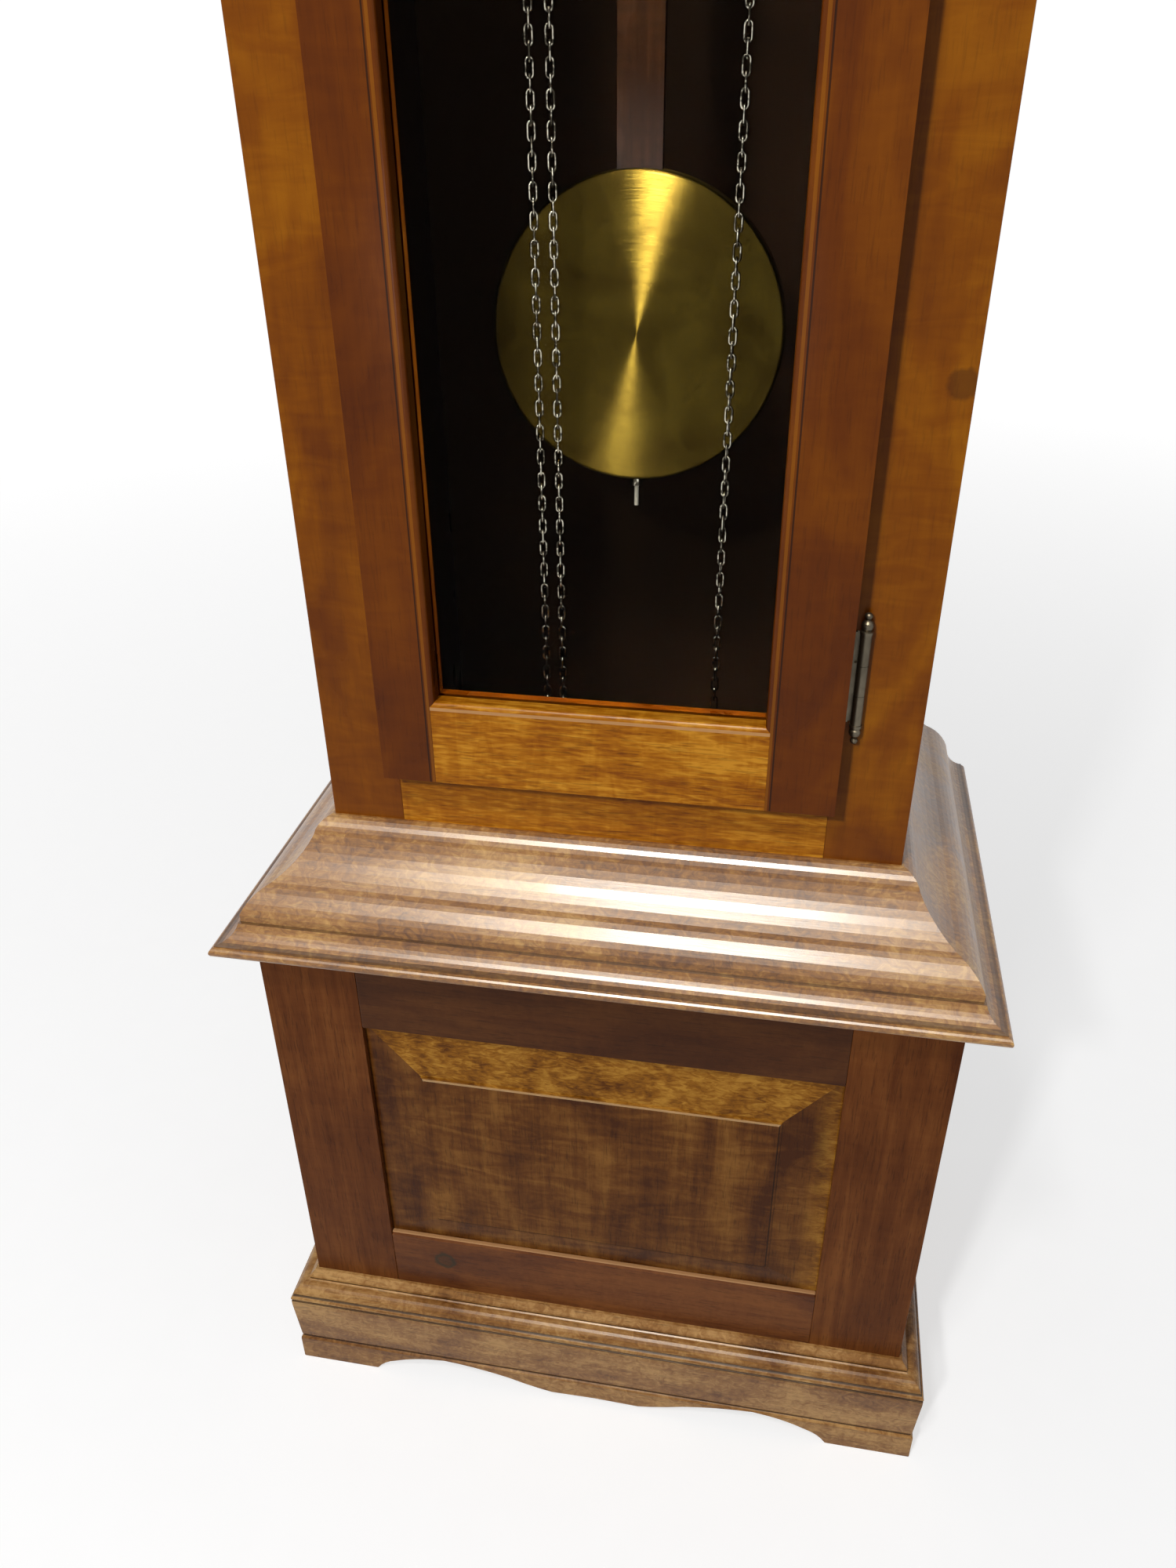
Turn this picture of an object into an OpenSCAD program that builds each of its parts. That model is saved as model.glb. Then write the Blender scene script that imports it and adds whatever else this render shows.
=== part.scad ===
// Longcase clock: panelled base, ogee waist, glazed trunk door, square hood, and a weight-driven
// chain movement with a seconds pendulum. Millimetres, +Z up, the front faces -Y, and the origin
// is at the centre of the footprint on the floor.

/* [Case] */
// Width of the trunk
trunk_w = 375; // [350:1:400]
// Depth from the trunk's front face to the back of the case
case_d = 262; // [255:1:280]
// Thickness of the front frames
frame_t = 20; // [18:1:22]
// Thickness of the side boards
side_t = 18; // [15:1:20]
// Thickness of the back boards
back_t = 9; // [6:1:12]
// Height of the top of the base
base_h = 445; // [430:1:460]
// Height of the shelf that the hood stands on
seat_h = 1478; // [1470:1:1500]
// Height of the hood above that shelf
hood_h = 562; // [550:1:590]

/* [Base] */
// How far the base stands out from the trunk
base_o = 49; // [45:1:52]
// Width of a base stile
base_stile = 69; // [60:1:80]
// Height of the base's bottom rail above the plinth
foot_rail = 58.5; // [46.5:0.5:71.5]
// Height of the base's top rail
head_rail = 69; // [60:1:80]
// Width of the panel's bevel at its sides
bevel_side = 40; // [30:1:50]
// Width of the panel's bevel at its top
bevel_top = 46; // [36:1:56]
// Width of the panel's bevel at its bottom
bevel_foot = 23; // [18:1:32]
// How deep the panel's edge sits in the frame's groove
panel_tongue = 7; // [5:1:9]
// Height of the underside of the base's boards
base_z = 30; // [29:1:34]

/* [Plinth] */
// How far the plinth stands out from the trunk
plinth_o = 68.9; // [66:0.1:72]
// Height of the plinth with its moulding
plinth_h = 98.5; // [92:0.5:106]
// Height of the plinth moulding
plinth_mould = 22; // [20:1:24]
// Height of the groove above the feet
groove_z = 27.5; // [27:0.5:34]
// Length of a foot along the front
foot_len = 68; // [55:1:80]
// Height of the arches of the skirt
skirt_rise = 25; // [18:1:26]

/* [Waist and trunk] */
// How far the waist moulding stands out from the trunk
waist_o = 72; // [66:1:76]
// Height of the waist moulding
waist_h = 78; // [70:1:86]
// Width of a trunk stile
trunk_stile = 49; // [44:1:54]
// How far the trunk's sides reach down inside the base
trunk_root = 45; // [30:1:60]
// Height of the moulding below the hood
neck_h = 40; // [34:1:44]
// How far that moulding stands out
neck_o = 50; // [50:1:56]

/* [Doors] */
// Height of the trunk door's bottom edge above the waist moulding
door_rise = 44; // [37:1:57]
// Distance from the trunk door's top edge up to the shelf of the hood
door_drop = 48; // [46:1:78]
// How far a door laps its frame at the sides
side_lap = 3; // [2:0.5:5]
// How far a door laps its frame above and below
end_lap = 4; // [2:0.5:6]
// Thickness of a door
door_t = 20; // [18:1:21]
// Width of a door stile
door_stile = 34.5; // [30:0.5:38]
// Width of the trunk door's stile on the hinge side
hinge_stile = 42; // [36:0.5:46]
// Height of the trunk door's bottom rail
door_foot = 53.5; // [44:0.5:64]
// Radius of the moulded edge round the glass
sticking = 3; // [2:0.5:4]
// Depth of the glass behind the door's face
glass_depth = 11; // [9:0.5:13]
// Thickness of the glass
glass_t = 3; // [2:0.5:4]
// Width of the rebate that the glass lies in
rebate = 6; // [5:0.5:8]
// Height of the trunk door's knob above the door's middle
knob_rise = 13.5; // [0:0.5:100]

/* [Hinges] */
// Radius of a hinge barrel
barrel_r = 3.4; // [3:0.1:4]
// Radius of a hinge pin
pin_r = 2; // [1.6:0.1:2.2]
// Length of a hinge barrel between its finials
barrel_len = 57.5; // [45:0.5:66]
// Thickness of a hinge leaf
leaf_t = 1.5; // [1.2:0.1:1.8]
// Distance from the hinge axis to the door's edge
hinge_out = 7; // [6:0.5:8]
// Running clearance of pins and pivots
run = 0.06; // [0.04:0.01:0.08]

/* [Hood] */
// How far the hood stands out from the trunk
hood_o = 28; // [24:1:32]
// Width of a hood stile
hood_stile = 39; // [36:1:44]
// Height of the board that the hood stands on
sole_t = 18; // [15:1:22]
// Height of the hood's rail below its door
hood_rail = 73; // [64:1:82]
// Height of the hood's rail between its door and the cornice
hood_head = 24; // [18:1:32]
// Height of the cornice
cornice_h = 95; // [80:1:100]
// How far the cornice stands out from the trunk
cornice_o = 64; // [58:1:66]

/* [Dial] */
// Side of the square dial plate
dial_w = 304; // [290:1:310]
// Outer radius of the chapter ring
ring_r = 142; // [130:1:144]
// Width of the chapter ring
ring_w = 32; // [24:1:40]
// Reach of the minute hand
minute_len = 126; // [110:1:136]
// Reach of the hour hand
hour_len = 88; // [70:1:100]

/* [Pendulum] */
// Radius of the bob
bob_r = 88.5; // [80:0.5:95]
// Thickness of the bob
bob_t = 18; // [14:1:20]
// Length from the suspension to the bob's centre
pend_len = 993; // [980:1:1005]
// Depth of the pendulum behind the trunk's front face
pend_y = 115; // [114:1:120]
// Width of the pendulum stick
stick_w = 26; // [20:1:30]
// Thickness of the pendulum stick
stick_t = 8; // [6:1:9]

/* [Chains and weights] */
// Pitch of the chain
pitch = 7.26; // [7:0.02:7.5]
// Thickness of the chain's wire
wire = 1.5; // [1.2:0.1:1.6]
// Width of a chain link
link_w = 5.4; // [4.8:0.1:5.6]
// Play between two links
link_play = 0.6; // [0.55:0.05:0.8]
// Links round a chain wheel
wheel_links = 20; // [20:2:20]
// Depth of the chains behind the trunk's front face
chain_y = 70; // [68:1:72]
// Links between a chain wheel and its weight
load_links = 38; // [30:2:44]
// Radius of a weight
weight_r = 23; // [18:1:24]
// Length of a weight's shell
weight_len = 230; // [180:5:250]

/* [Movement] */
// Distance between the movement's plates
plate_gap = 62; // [60:1:64]
// Thickness of a plate
plate_t = 3; // [2.5:0.5:3]
// Depth of the front plate behind the trunk's front face
plate_y = 30; // [29:1:32]
// Radius of an arbor
arbor_r = 1.6; // [1.5:0.1:1.7]
// Radius of a pivot
pivot_r = 1.2; // [1:0.1:1.4]

/* [Hidden] */
$fn = 48;

total_h = seat_h + hood_h;
half_w = trunk_w / 2;
back = (case_d + max(plinth_o, waist_o)) / 2;
front = back - case_d;

// Points of an arc from a up to b, without b, that rises to the left of the way from a to b
function arc(a, b, rise, n = 6) =
    let (d = b - a, len = norm(d), r = (len * len / 4 + rise * rise) / (2 * rise),
         c = (a + b) / 2 + [-d.y, d.x] / len * (rise - r),
         from = atan2(a.y - c.y, a.x - c.x), turn = -sign(rise) * 2 * asin(len / 2 / abs(r)))
    [for (i = [0:n - 1]) c + abs(r) * [cos(from + turn * i / n), sin(from + turn * i / n)]];

// Box between two corners
module box(lo, hi) { translate(lo) cube(hi - lo); }

// The children and their mirror image across the middle of the clock
module both_sides() {
    children();
    mirror([1, 0, 0]) children();
}

// Solid of a section drawn in width and depth, standing up between two heights
module upright(z0, z1, section) { translate([0, 0, z0]) linear_extrude(z1 - z0) polygon(section); }

// Solid of a section drawn in depth and height, lying across between two places
module crosswise(x0, x1, section) {
    translate([x0, 0, 0]) rotate([90, 0, 90]) linear_extrude(x1 - x0) polygon(section);
}

// A profile runs round the front and both sides of the case. Its points are [overhang, height], and the
// overhang is counted from the trunk. The three lengths meet in mitres at the front corners.
glue_line = 0.1;
module mitred_front(out) {
    intersection() {
        children();
        upright(0, total_h, [[-half_w, front], [-half_w - out, front - out], [half_w + out, front - out],
            [half_w, front]]);
    }
}
module mitred_side(out) {
    intersection() {
        children();
        upright(0, total_h, [[half_w, front + glue_line], [half_w + out, front - out + glue_line],
            [half_w + out, back], [half_w, back]]);
    }
}
module profile_front(profile, out) {
    crosswise(-half_w - out, half_w + out, [for (p = profile) [front - p.x, p.y]]);
}
module profile_side(profile, out) {
    translate([half_w, back, 0]) rotate([90, 0, 0]) linear_extrude(case_d + out) polygon(profile);
}
module moulding(profile) {
    out = max([for (p = profile) p.x]);
    mitred_front(out) profile_front(profile, out);
    both_sides() mitred_side(out) profile_side(profile, out);
}

// Plinth

board_top = plinth_h - plinth_mould;
function skirt_half(half) = let (s = half - foot_len, rise = skirt_rise)
    concat(arc([s, 0], [s * 0.91, rise * 0.55], -2, 4),
        arc([s * 0.91, rise * 0.55], [s * 0.69, rise], -2, 4),
        arc([s * 0.69, rise], [s * 0.39, rise * 0.65], -1.5, 4),
        arc([s * 0.39, rise * 0.65], [s * 0.12, rise * 0.18], 1.5, 4), [[0, rise * 0.3]]);
function skirt(half) = let (s = skirt_half(half))
    concat([[half - foot_len, -1]], s, [for (i = [len(s) - 2:-1:0]) [-s[i].x, s[i].y]],
        [[foot_len - half, -1]]);
plinth_profile = [[base_o, 0], [plinth_o - 1.2, 0], [plinth_o - 1.2, groove_z - 2.5],
    [plinth_o - 3.4, groove_z], [plinth_o - 2.2, groove_z + 2.5], [plinth_o, board_top - 5],
    [plinth_o, board_top], [base_o, board_top]];
module plinth_boards() {
    side_mid = (front - plinth_o + back) / 2;
    color("saddlebrown") {
        difference() {
            mitred_front(plinth_o) profile_front(plinth_profile, plinth_o);
            translate([0, front, 0]) rotate([90, 0, 0]) linear_extrude(plinth_o + 1)
                polygon(skirt(half_w + plinth_o));
        }
        both_sides() difference() {
            mitred_side(plinth_o) profile_side(plinth_profile, plinth_o);
            translate([half_w, side_mid, 0]) rotate([90, 0, 90]) linear_extrude(plinth_o + 1)
                polygon(skirt((case_d + plinth_o) / 2));
        }
    }
}
module plinth_mouldings() {
    o = plinth_o;
    color("peru") moulding(concat([[base_o, board_top], [base_o, plinth_h], [base_o + 2.2, plinth_h],
        [o - 13.6, plinth_h - 4.5], [o - 13.6, plinth_h - 8]],
        arc([o - 12.6, plinth_h - 8.6], [o - 2.4, plinth_h - 15.6], 2.6, 6),
        [[o - 2.4, plinth_h - 15.6], [o - 3.2, plinth_h - 16.6]],
        arc([o - 2.2, plinth_h - 17], [o - 2.2, board_top], 2.2, 5), [[o - 2.2, board_top]]));
}

// The base frame's inner edges and the outer face of its sides
panel_x = half_w + base_o - base_stile;
panel_z0 = plinth_h + foot_rail;
panel_z1 = base_h - head_rail;
base_in = half_w + base_o - side_t;
base_front = front - base_o;
module glue_blocks() {
    block = 45;
    color("burlywood") both_sides() {
        for (y = [base_front, back - block])
            box([half_w + base_o - block, y, 0], [half_w + base_o, y + block, base_z]);
        box([half_w, base_front + frame_t, base_h - trunk_root], [base_in, back - back_t, base_h]);
    }
    front_block = half_w - glue_line;
    color("burlywood")
        box([-front_block, base_front + frame_t, base_h - trunk_root], [front_block, front, base_h]);
}

// Base

groove_y = [5, 11];
module panel_groove() {
    play = 0.1;
    box([-panel_x - panel_tongue - play, base_front + groove_y[0] - play, panel_z0 - panel_tongue - play],
        [panel_x + panel_tongue + play, base_front + groove_y[1] + play, panel_z1 + panel_tongue + play]);
}
module base_stiles() {
    color("sienna") both_sides() difference() {
        box([panel_x, base_front, base_z], [half_w + base_o, base_front + frame_t, base_h]);
        panel_groove();
    }
}
module base_rails() {
    edge = 2;
    color("sienna") difference() {
        union() {
            crosswise(-panel_x, panel_x, [[base_front, base_z], [base_front, panel_z0 - edge],
                [base_front + edge, panel_z0], [base_front + frame_t, panel_z0],
                [base_front + frame_t, base_z]]);
            box([-panel_x, base_front, panel_z1], [panel_x, base_front + frame_t, base_h]);
        }
        panel_groove();
    }
}
// Section of the raised panel between two edges, with bevels of two widths
function raised(a, b, bevel_a, bevel_b) = let (edge = groove_y[0], foot = 3.2, field = 1.2, step = 2)
    [[a - panel_tongue, groove_y[1]], [a - panel_tongue, edge], [a, edge], [a + bevel_a - step, foot],
    [a + bevel_a - step, foot - 1], [a + bevel_a, foot - 1], [a + bevel_a, field], [b - bevel_b, field],
    [b - bevel_b, foot - 1], [b - bevel_b + step, foot - 1], [b - bevel_b + step, foot], [b, edge],
    [b + panel_tongue, edge], [b + panel_tongue, groove_y[1]]];
module base_panel() {
    color("chocolate") translate([0, base_front, 0]) intersection() {
        upright(0, base_h, raised(-panel_x, panel_x, bevel_side, bevel_side));
        crosswise(-half_w - base_o, half_w + base_o,
            [for (p = raised(panel_z0, panel_z1, bevel_foot, bevel_top)) [p.y, p.x]]);
    }
}
module base_sides() {
    color("sienna") both_sides()
        box([base_in, base_front + frame_t, base_z], [half_w + base_o, back, base_h]);
}
module base_floor() {
    color("burlywood")
        box([-base_in, base_front + frame_t, base_z + 4], [base_in, back - back_t, base_z + 16]);
}
hood_in = half_w + hood_o - side_t;
hood_top_z = total_h - 12;
module back_boards() {
    color("saddlebrown") {
        box([-base_in, back - back_t, base_z], [base_in, back, base_h]);
        box([-half_w, back - back_t, base_h], [half_w, back, seat_h + sole_t]);
        box([-hood_in, back - back_t, seat_h + sole_t], [hood_in, back, hood_top_z]);
    }
}

// Waist moulding: a long ogee, a quirk, a cove and a round nose
module waist_mouldings() {
    o = waist_o;
    nose = 3.4;
    slope_foot = [o - 18, base_h + 0.32 * waist_h];
    bend = [o / 2, base_h + 0.53 * waist_h];
    roll = [o / 6, base_h + 0.86 * waist_h];
    color("chocolate") moulding(concat([[0, base_h], [0, base_h + waist_h], [1.5, base_h + waist_h]],
        arc([1.5, base_h + waist_h], roll, 2.2, 5), arc(roll, bend, -2.6, 6), arc(bend, slope_foot, 2.5, 6),
        [slope_foot, [o - 18, base_h + 0.24 * waist_h]],
        arc([o - 16.5, base_h + 0.24 * waist_h], [o - 5, base_h + 2 * nose + 1], -2.4, 6),
        [[o - 5, base_h + 2 * nose + 1], [o - nose, base_h + 2 * nose + 1]],
        arc([o - nose, base_h + 2 * nose], [o - nose, base_h], nose - 0.01, 7), [[o - nose, base_h]]));
}

// Trunk

stile_in = half_w - trunk_stile;
rebate_cut = rebate - sticking;
door_gap = 0.3;
door_z0 = base_h + waist_h + door_rise;
door_z1 = seat_h - door_drop;
knob_z = (door_z0 + door_z1) / 2 + knob_rise;
door_half = stile_in + side_lap;
hinge_x = door_half + hinge_out;
module trunk_stiles() {
    color("peru") difference() {
        both_sides() box([stile_in, front, base_h - trunk_root], [half_w, front + frame_t, seat_h]);
        trunk_hinges() fixed_recess();
    }
}
module trunk_rails() {
    color("peru") {
        box([-stile_in, front, base_h - trunk_root], [stile_in, front + frame_t, door_z0 + end_lap]);
        box([-stile_in, front, door_z1 - end_lap], [stile_in, front + frame_t, seat_h]);
    }
}
module trunk_sides() {
    color("peru") both_sides()
        box([half_w - side_t, front + frame_t, base_h - trunk_root], [half_w, back - back_t, seat_board_z]);
}
module neck_mouldings() {
    z = seat_h - neck_h;
    o = neck_o;
    color("chocolate") moulding(concat([[0, z], [4, z], [4, z + 5]],
        arc([6, z + 6], [o - 6, seat_h - 9], 8, 8), [[o - 6, seat_h - 9], [o - 3, seat_h - 8],
        [o - 3, seat_h], [0, seat_h]]));
}

// Hood

hood_front = front - hood_o;
hood_stile_in = half_w + hood_o - hood_stile;
hood_door_half = hood_stile_in + side_lap;
hood_hinge_x = hood_door_half + hinge_out;
hood_z0 = seat_h + sole_t + hood_rail;
hood_z1 = total_h - cornice_h - hood_head;
dial_z = (hood_z0 + hood_z1) / 2;
module hood_sole() {
    z = seat_h;
    o = neck_o + 4;
    color("chocolate") moulding(concat([[0, z], [o - 6, z]], arc([o - 6, z], [o - 6, z + 12], -5.9, 7),
        [[o - 6, z + 12], [o - 9, z + 13], [o - 9, z + sole_t], [0, z + sole_t]]));
}
module hood_sides() {
    color("peru") both_sides()
        box([hood_in, hood_front + frame_t, seat_h + sole_t], [half_w + hood_o, back, hood_top_z]);
}
module hood_frame() {
    rail = hood_stile_in - glue_line;
    color("peru") difference() {
        union() {
            both_sides() box([hood_stile_in, hood_front, seat_h + sole_t],
                [half_w + hood_o, hood_front + frame_t, hood_top_z]);
            box([-rail, hood_front, seat_h + sole_t], [rail, hood_front + frame_t, hood_z0]);
            box([-rail, hood_front, hood_z1], [rail, hood_front + frame_t, hood_top_z]);
        }
        hood_hinges() fixed_recess();
    }
}
module hood_top() {
    color("peru") box([-half_w - hood_o, hood_front, hood_top_z], [half_w + hood_o, back, total_h]);
}
module hood_cornice() {
    z = total_h - cornice_h;
    a = hood_o;
    o = cornice_o;
    color("chocolate") moulding(concat([[a, z], [a + 5, z], [a + 5, z + 6]],
        arc([a + 6, z + 7], [a + 15, z + 30], -3, 5), arc([a + 16, z + 31], [o - 8, total_h - 26], 4, 6),
        [[o - 8, total_h - 26], [o - 5, total_h - 25], [o - 5, total_h - 20]],
        arc([o - 4, total_h - 19], [o, total_h - 6], -1.5, 4),
        [[o, total_h - 6], [o, total_h], [a, total_h]]));
}

// Board on the trunk's sides that carries the movement
seat_board_t = 18;
seat_board_z = dial_z - 108;
seat_board_y = [frame_t + 4, frame_t + 80];
module seat_board() {
    color("burlywood") difference() {
        box([-half_w, front + seat_board_y[0], seat_board_z],
            [half_w, front + seat_board_y[1], seat_board_z + seat_board_t]);
        for (w = wheel_x, s = [-1, 1])
            translate([w + s * wheel_r, front + chain_y, seat_board_z - 1])
                cylinder(h = seat_board_t + 2, r = 8);
    }
}

// Doors. A door lies on its frame, and its moulded edge is mitred round the glass. The section of an
// inner edge is drawn with the distance from the sight line and the depth from the face.
module sash_edge(len) {
    section = concat([[0, 0]], arc([0, 0], [sticking, sticking], -0.29 * sticking, 5),
        [[sticking, sticking], [sticking, glass_depth], [0, glass_depth]]);
    intersection() {
        upright(-len / 2, len / 2, section);
        rotate([-90, 0, 0]) linear_extrude(glass_depth)
            polygon([[0, -len / 2], [sticking, sticking - len / 2], [sticking, len / 2 - sticking],
                [0, len / 2]]);
    }
}
// Both stiles of a door, of two widths, with the sight opening between two heights
module door_stiles(half, widths, z0, z1, open0, open1) {
    for (s = [0, 1]) mirror([s, 0, 0]) translate([-half, 0, 0]) {
        difference() {
            box([0, 0, z0], [widths[s], door_t, z1]);
            box([widths[s] - rebate_cut, glass_depth, open0 - rebate_cut],
                [widths[s] + 1, door_t + 1, open1 + rebate_cut]);
        }
        translate([widths[s], 0, (open0 + open1) / 2]) sash_edge(open1 - open0);
    }
}
// Rail of a door between its stiles, from its outer edge to the sight line
module door_rail(half, outer, inner) {
    width = abs(inner - outer);
    translate([0, 0, outer]) rotate([0, inner > outer ? 0 : 180, 0]) {
        difference() {
            box([-half, 0, 0], [half, door_t, width]);
            box([-half - 1, glass_depth, width - rebate_cut], [half + 1, door_t + 1, width + 1]);
        }
        translate([0, 0, width]) rotate([0, -90, 0]) sash_edge(2 * half);
    }
}
module glazing_beads(half, open0, open1) {
    y = [glass_depth + glass_t, door_t];
    both_sides() box([half - sticking, y[0], open0 - rebate_cut],
        [half + rebate_cut, y[1], open1 + rebate_cut]);
    for (z = [[open0 - rebate_cut, open0 + sticking], [open1 - sticking, open1 + rebate_cut]])
        box([sticking - half, y[0], z[0]], [half - sticking, y[1], z[1]]);
}
module door_glass(half, open0, open1) {
    out = rebate_cut - 0.2;
    box([-half - out, glass_depth, open0 - out], [half + out, glass_depth + glass_t, open1 + out]);
}

// The trunk door's face and sight opening
door_face = front - door_gap - door_t;
sight_half = door_half - (door_stile + hinge_stile) / 2;
sight_mid = (door_stile - hinge_stile) / 2;
door_open0 = door_z0 + door_foot;
door_open1 = door_z1 - door_foot;
module trunk_door_stiles() {
    color("sienna") difference() {
        translate([0, door_face, 0])
            door_stiles(door_half, [door_stile, hinge_stile], door_z0, door_z1, door_open0, door_open1);
        trunk_hinges() moving_recess();
        knob_hole(door_half, knob_z, door_face);
    }
}
module trunk_door_rails() {
    color("goldenrod") translate([sight_mid, door_face, 0]) {
        door_rail(sight_half, door_z0, door_open0);
        door_rail(sight_half, door_z1, door_open1);
    }
}
module trunk_door_glass() {
    color("lightblue", 0.3) translate([sight_mid, door_face, 0])
        door_glass(sight_half, door_open0, door_open1);
}
module trunk_door_beads() {
    color("sienna") translate([sight_mid, door_face, 0])
        glazing_beads(sight_half, door_open0, door_open1);
}
hood_face = hood_front - door_gap - door_t;
hood_sight = hood_door_half - door_stile;
hood_door0 = hood_z0 - end_lap;
hood_door1 = hood_z1 + end_lap;
module hood_door_frame() {
    z = [hood_door0, hood_door1, hood_door0 + door_stile, hood_door1 - door_stile];
    color("sienna") difference() {
        translate([0, hood_face, 0]) {
            door_stiles(hood_door_half, [door_stile, door_stile], z[0], z[1], z[2], z[3]);
            door_rail(hood_sight - glue_line, z[0], z[2]);
            door_rail(hood_sight - glue_line, z[1], z[3]);
        }
        hood_hinges() moving_recess();
        knob_hole(hood_door_half, dial_z, hood_face);
    }
}
module hood_door_glass() {
    color("lightblue", 0.3) translate([0, hood_face, 0])
        door_glass(hood_sight, hood_door0 + door_stile, hood_door1 - door_stile);
}

// Knobs: a turned brass knob on a stem that is let into the door's left stile
stem_r = 2.5;
module knob_hole(half, z, face) {
    translate([door_stile / 2 - half, face - 1, z]) rotate([-90, 0, 0]) cylinder(h = 15, r = stem_r + 0.05);
}
module knob(half, z, face) {
    color("darkgoldenrod") translate([door_stile / 2 - half, face, z]) rotate([90, 0, 0]) rotate_extrude()
        polygon(concat([[0, -13], [stem_r, -13], [stem_r, 0], [8, 0], [8, 1.5], [3.2, 3], [3.2, 7]],
            arc([3.2, 7], [3.2, 19.5], -6.2, 10), [[3.2, 19.5], [0, 20]]));
}
module trunk_door_knob() { knob(door_half, knob_z, door_face); }
module hood_door_knob() { knob(hood_door_half, dial_z, hood_face); }

// Hinges. The leaves are drawn about the hinge axis, with the frame's face behind it.
axis_out = barrel_r + 0.5;
leaf_half = barrel_len / 2;
knuckle = barrel_len / 3;
leaf_gap = 0.2;
trunk_hinge_z = [door_z0 + 84, door_z1 - 84];
hood_hinge_z = [hood_door0 + 48, hood_door1 - 48];
frame_reach = hinge_x - stile_in;
module trunk_hinges() {
    for (z = trunk_hinge_z) translate([hinge_x, front - axis_out, z]) children();
}
module hood_hinges() {
    for (z = hood_hinge_z) translate([hood_hinge_x, hood_front - axis_out, z]) children();
}
leaf_reach = 27;
module moving_recess() {
    box([-leaf_reach - 0.2, axis_out - door_gap - leaf_t - 0.05, -leaf_half - 0.1],
        [0, axis_out - door_gap + 1, leaf_half + 0.1]);
}
module fixed_recess() {
    box([-frame_reach - 1, axis_out - 1, -leaf_half - 0.1], [1.2, axis_out + leaf_t + 0.05, leaf_half + 0.1]);
    box([-frame_reach - 1, axis_out - 1, -leaf_half - 0.1],
        [leaf_t + 0.05 - frame_reach, axis_out + 17.1, leaf_half + 0.1]);
}
module knuckles(spans) {
    difference() {
        union() {
            children();
            for (s = spans) translate([0, 0, s[0]]) cylinder(h = s[1] - s[0], r = barrel_r);
        }
        translate([0, 0, -leaf_half - 1]) cylinder(h = barrel_len + 2, r = pin_r + run);
    }
}
module moving_leaf() {
    face = axis_out - door_gap;
    half = knuckle / 2 - leaf_gap / 2;
    knuckles([[-half, half]]) {
        box([-leaf_reach, face - leaf_t, -leaf_half], [-5, face, leaf_half]);
        box([-5, face - leaf_t, -half], [0, face, half]);
    }
}
module fixed_leaf() {
    half = knuckle / 2 + leaf_gap / 2;
    knuckles([[-leaf_half, -half], [half, leaf_half]]) {
        box([-frame_reach, axis_out, -leaf_half], [1, axis_out + leaf_t, leaf_half]);
        box([-frame_reach, axis_out, -leaf_half], [leaf_t - frame_reach, axis_out + 17, leaf_half]);
        for (z = [[-leaf_half, -half], [half, leaf_half]])
            box([-1, barrel_r - 1, z[0]], [1, axis_out + 0.5, z[1]]);
    }
}
module case_leaves() {
    color("dimgray") {
        trunk_hinges() fixed_leaf();
        hood_hinges() fixed_leaf();
    }
}
module trunk_door_leaves() { color("dimgray") trunk_hinges() moving_leaf(); }
module hood_door_leaves() { color("dimgray") hood_hinges() moving_leaf(); }
// Pin with a ring, an acorn and a ball at each end
module hinge_pin() {
    h = leaf_half;
    ring = barrel_r + 0.4;
    tip = concat([[pin_r, h], [ring, h], [ring, h + 1.8], [2.6, h + 2.4]],
        arc([2.6, h + 2.4], [1.1, h + 9], -1.7, 5), [[1.1, h + 9]],
        arc([1.1, h + 9], [0.4, h + 12.8], -1.7, 5), [[0.4, h + 12.8], [0, h + 13]]);
    rotate_extrude() polygon(concat(tip, [for (i = [len(tip) - 1:-1:0]) [tip[i].x, -tip[i].y]]));
}
module hinge_pins() {
    color("dimgray") {
        trunk_hinges() hinge_pin();
        hood_hinges() hinge_pin();
    }
}
// Magnetic catches in the frames' left inner edges, behind the doors
module door_catches() {
    color("silver") {
        for (z = [door_z0 + 45, door_z1 - 45])
            box([-stile_in, front + 1, z - 20], [10 - stile_in, front + 13, z + 20]);
        box([-hood_stile_in, hood_front + 1, dial_z - 20],
            [10 - hood_stile_in, hood_front + 13, dial_z + 20]);
    }
}

// Where the wheels stand, in width and height. The free ends of the chains hang where they show through
// the glass, and each chain wheel stands half its pitch circle away from its own.
wheel_r = wheel_links * pitch / (2 * PI);
free_x = [-53, -42, 60];
free_links = [162, 160, 156];
wheel_x = [free_x[0] - wheel_r, free_x[1] + wheel_r, free_x[2] + wheel_r];
load_x = [for (i = [0:2]) 2 * wheel_x[i] - free_x[i]];
great_m = 0.6;
centre_m = 0.7;
third_m = 0.6;
hand_m = 0.5;
great_teeth = 96;
centre_teeth = 64;
third_teeth = 60;
leaves = 8;
cannon_teeth = 24;
minute_teeth = 72;
minute_leaves = 18;
hour_teeth = 72;
escape_teeth = 30;
escape_r = 16.5;
function mesh(a, b, m) = (a + b) * m / 2;
function toward(a, b) = atan2(b.y - a.y, b.x - a.x);
centre_at = [0, dial_z];
great_z = dial_z - sqrt(pow(mesh(great_teeth, leaves, great_m), 2) - pow(wheel_x[1], 2));
strike_at = [wheel_x[0], great_z];
going_at = [wheel_x[1], great_z];
chime_at = [wheel_x[2], great_z];
escape_at = [0, dial_z + 40.5];
anchor_at = [0, dial_z + 65];
third_at = let (a = mesh(centre_teeth, leaves, centre_m), b = mesh(third_teeth, leaves, third_m),
    d = escape_at.y - centre_at.y, h = (a * a - b * b + d * d) / (2 * d))
    [sqrt(a * a - h * h), dial_z + h];
hand_mesh = mesh(cannon_teeth, minute_teeth, hand_m);
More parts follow.
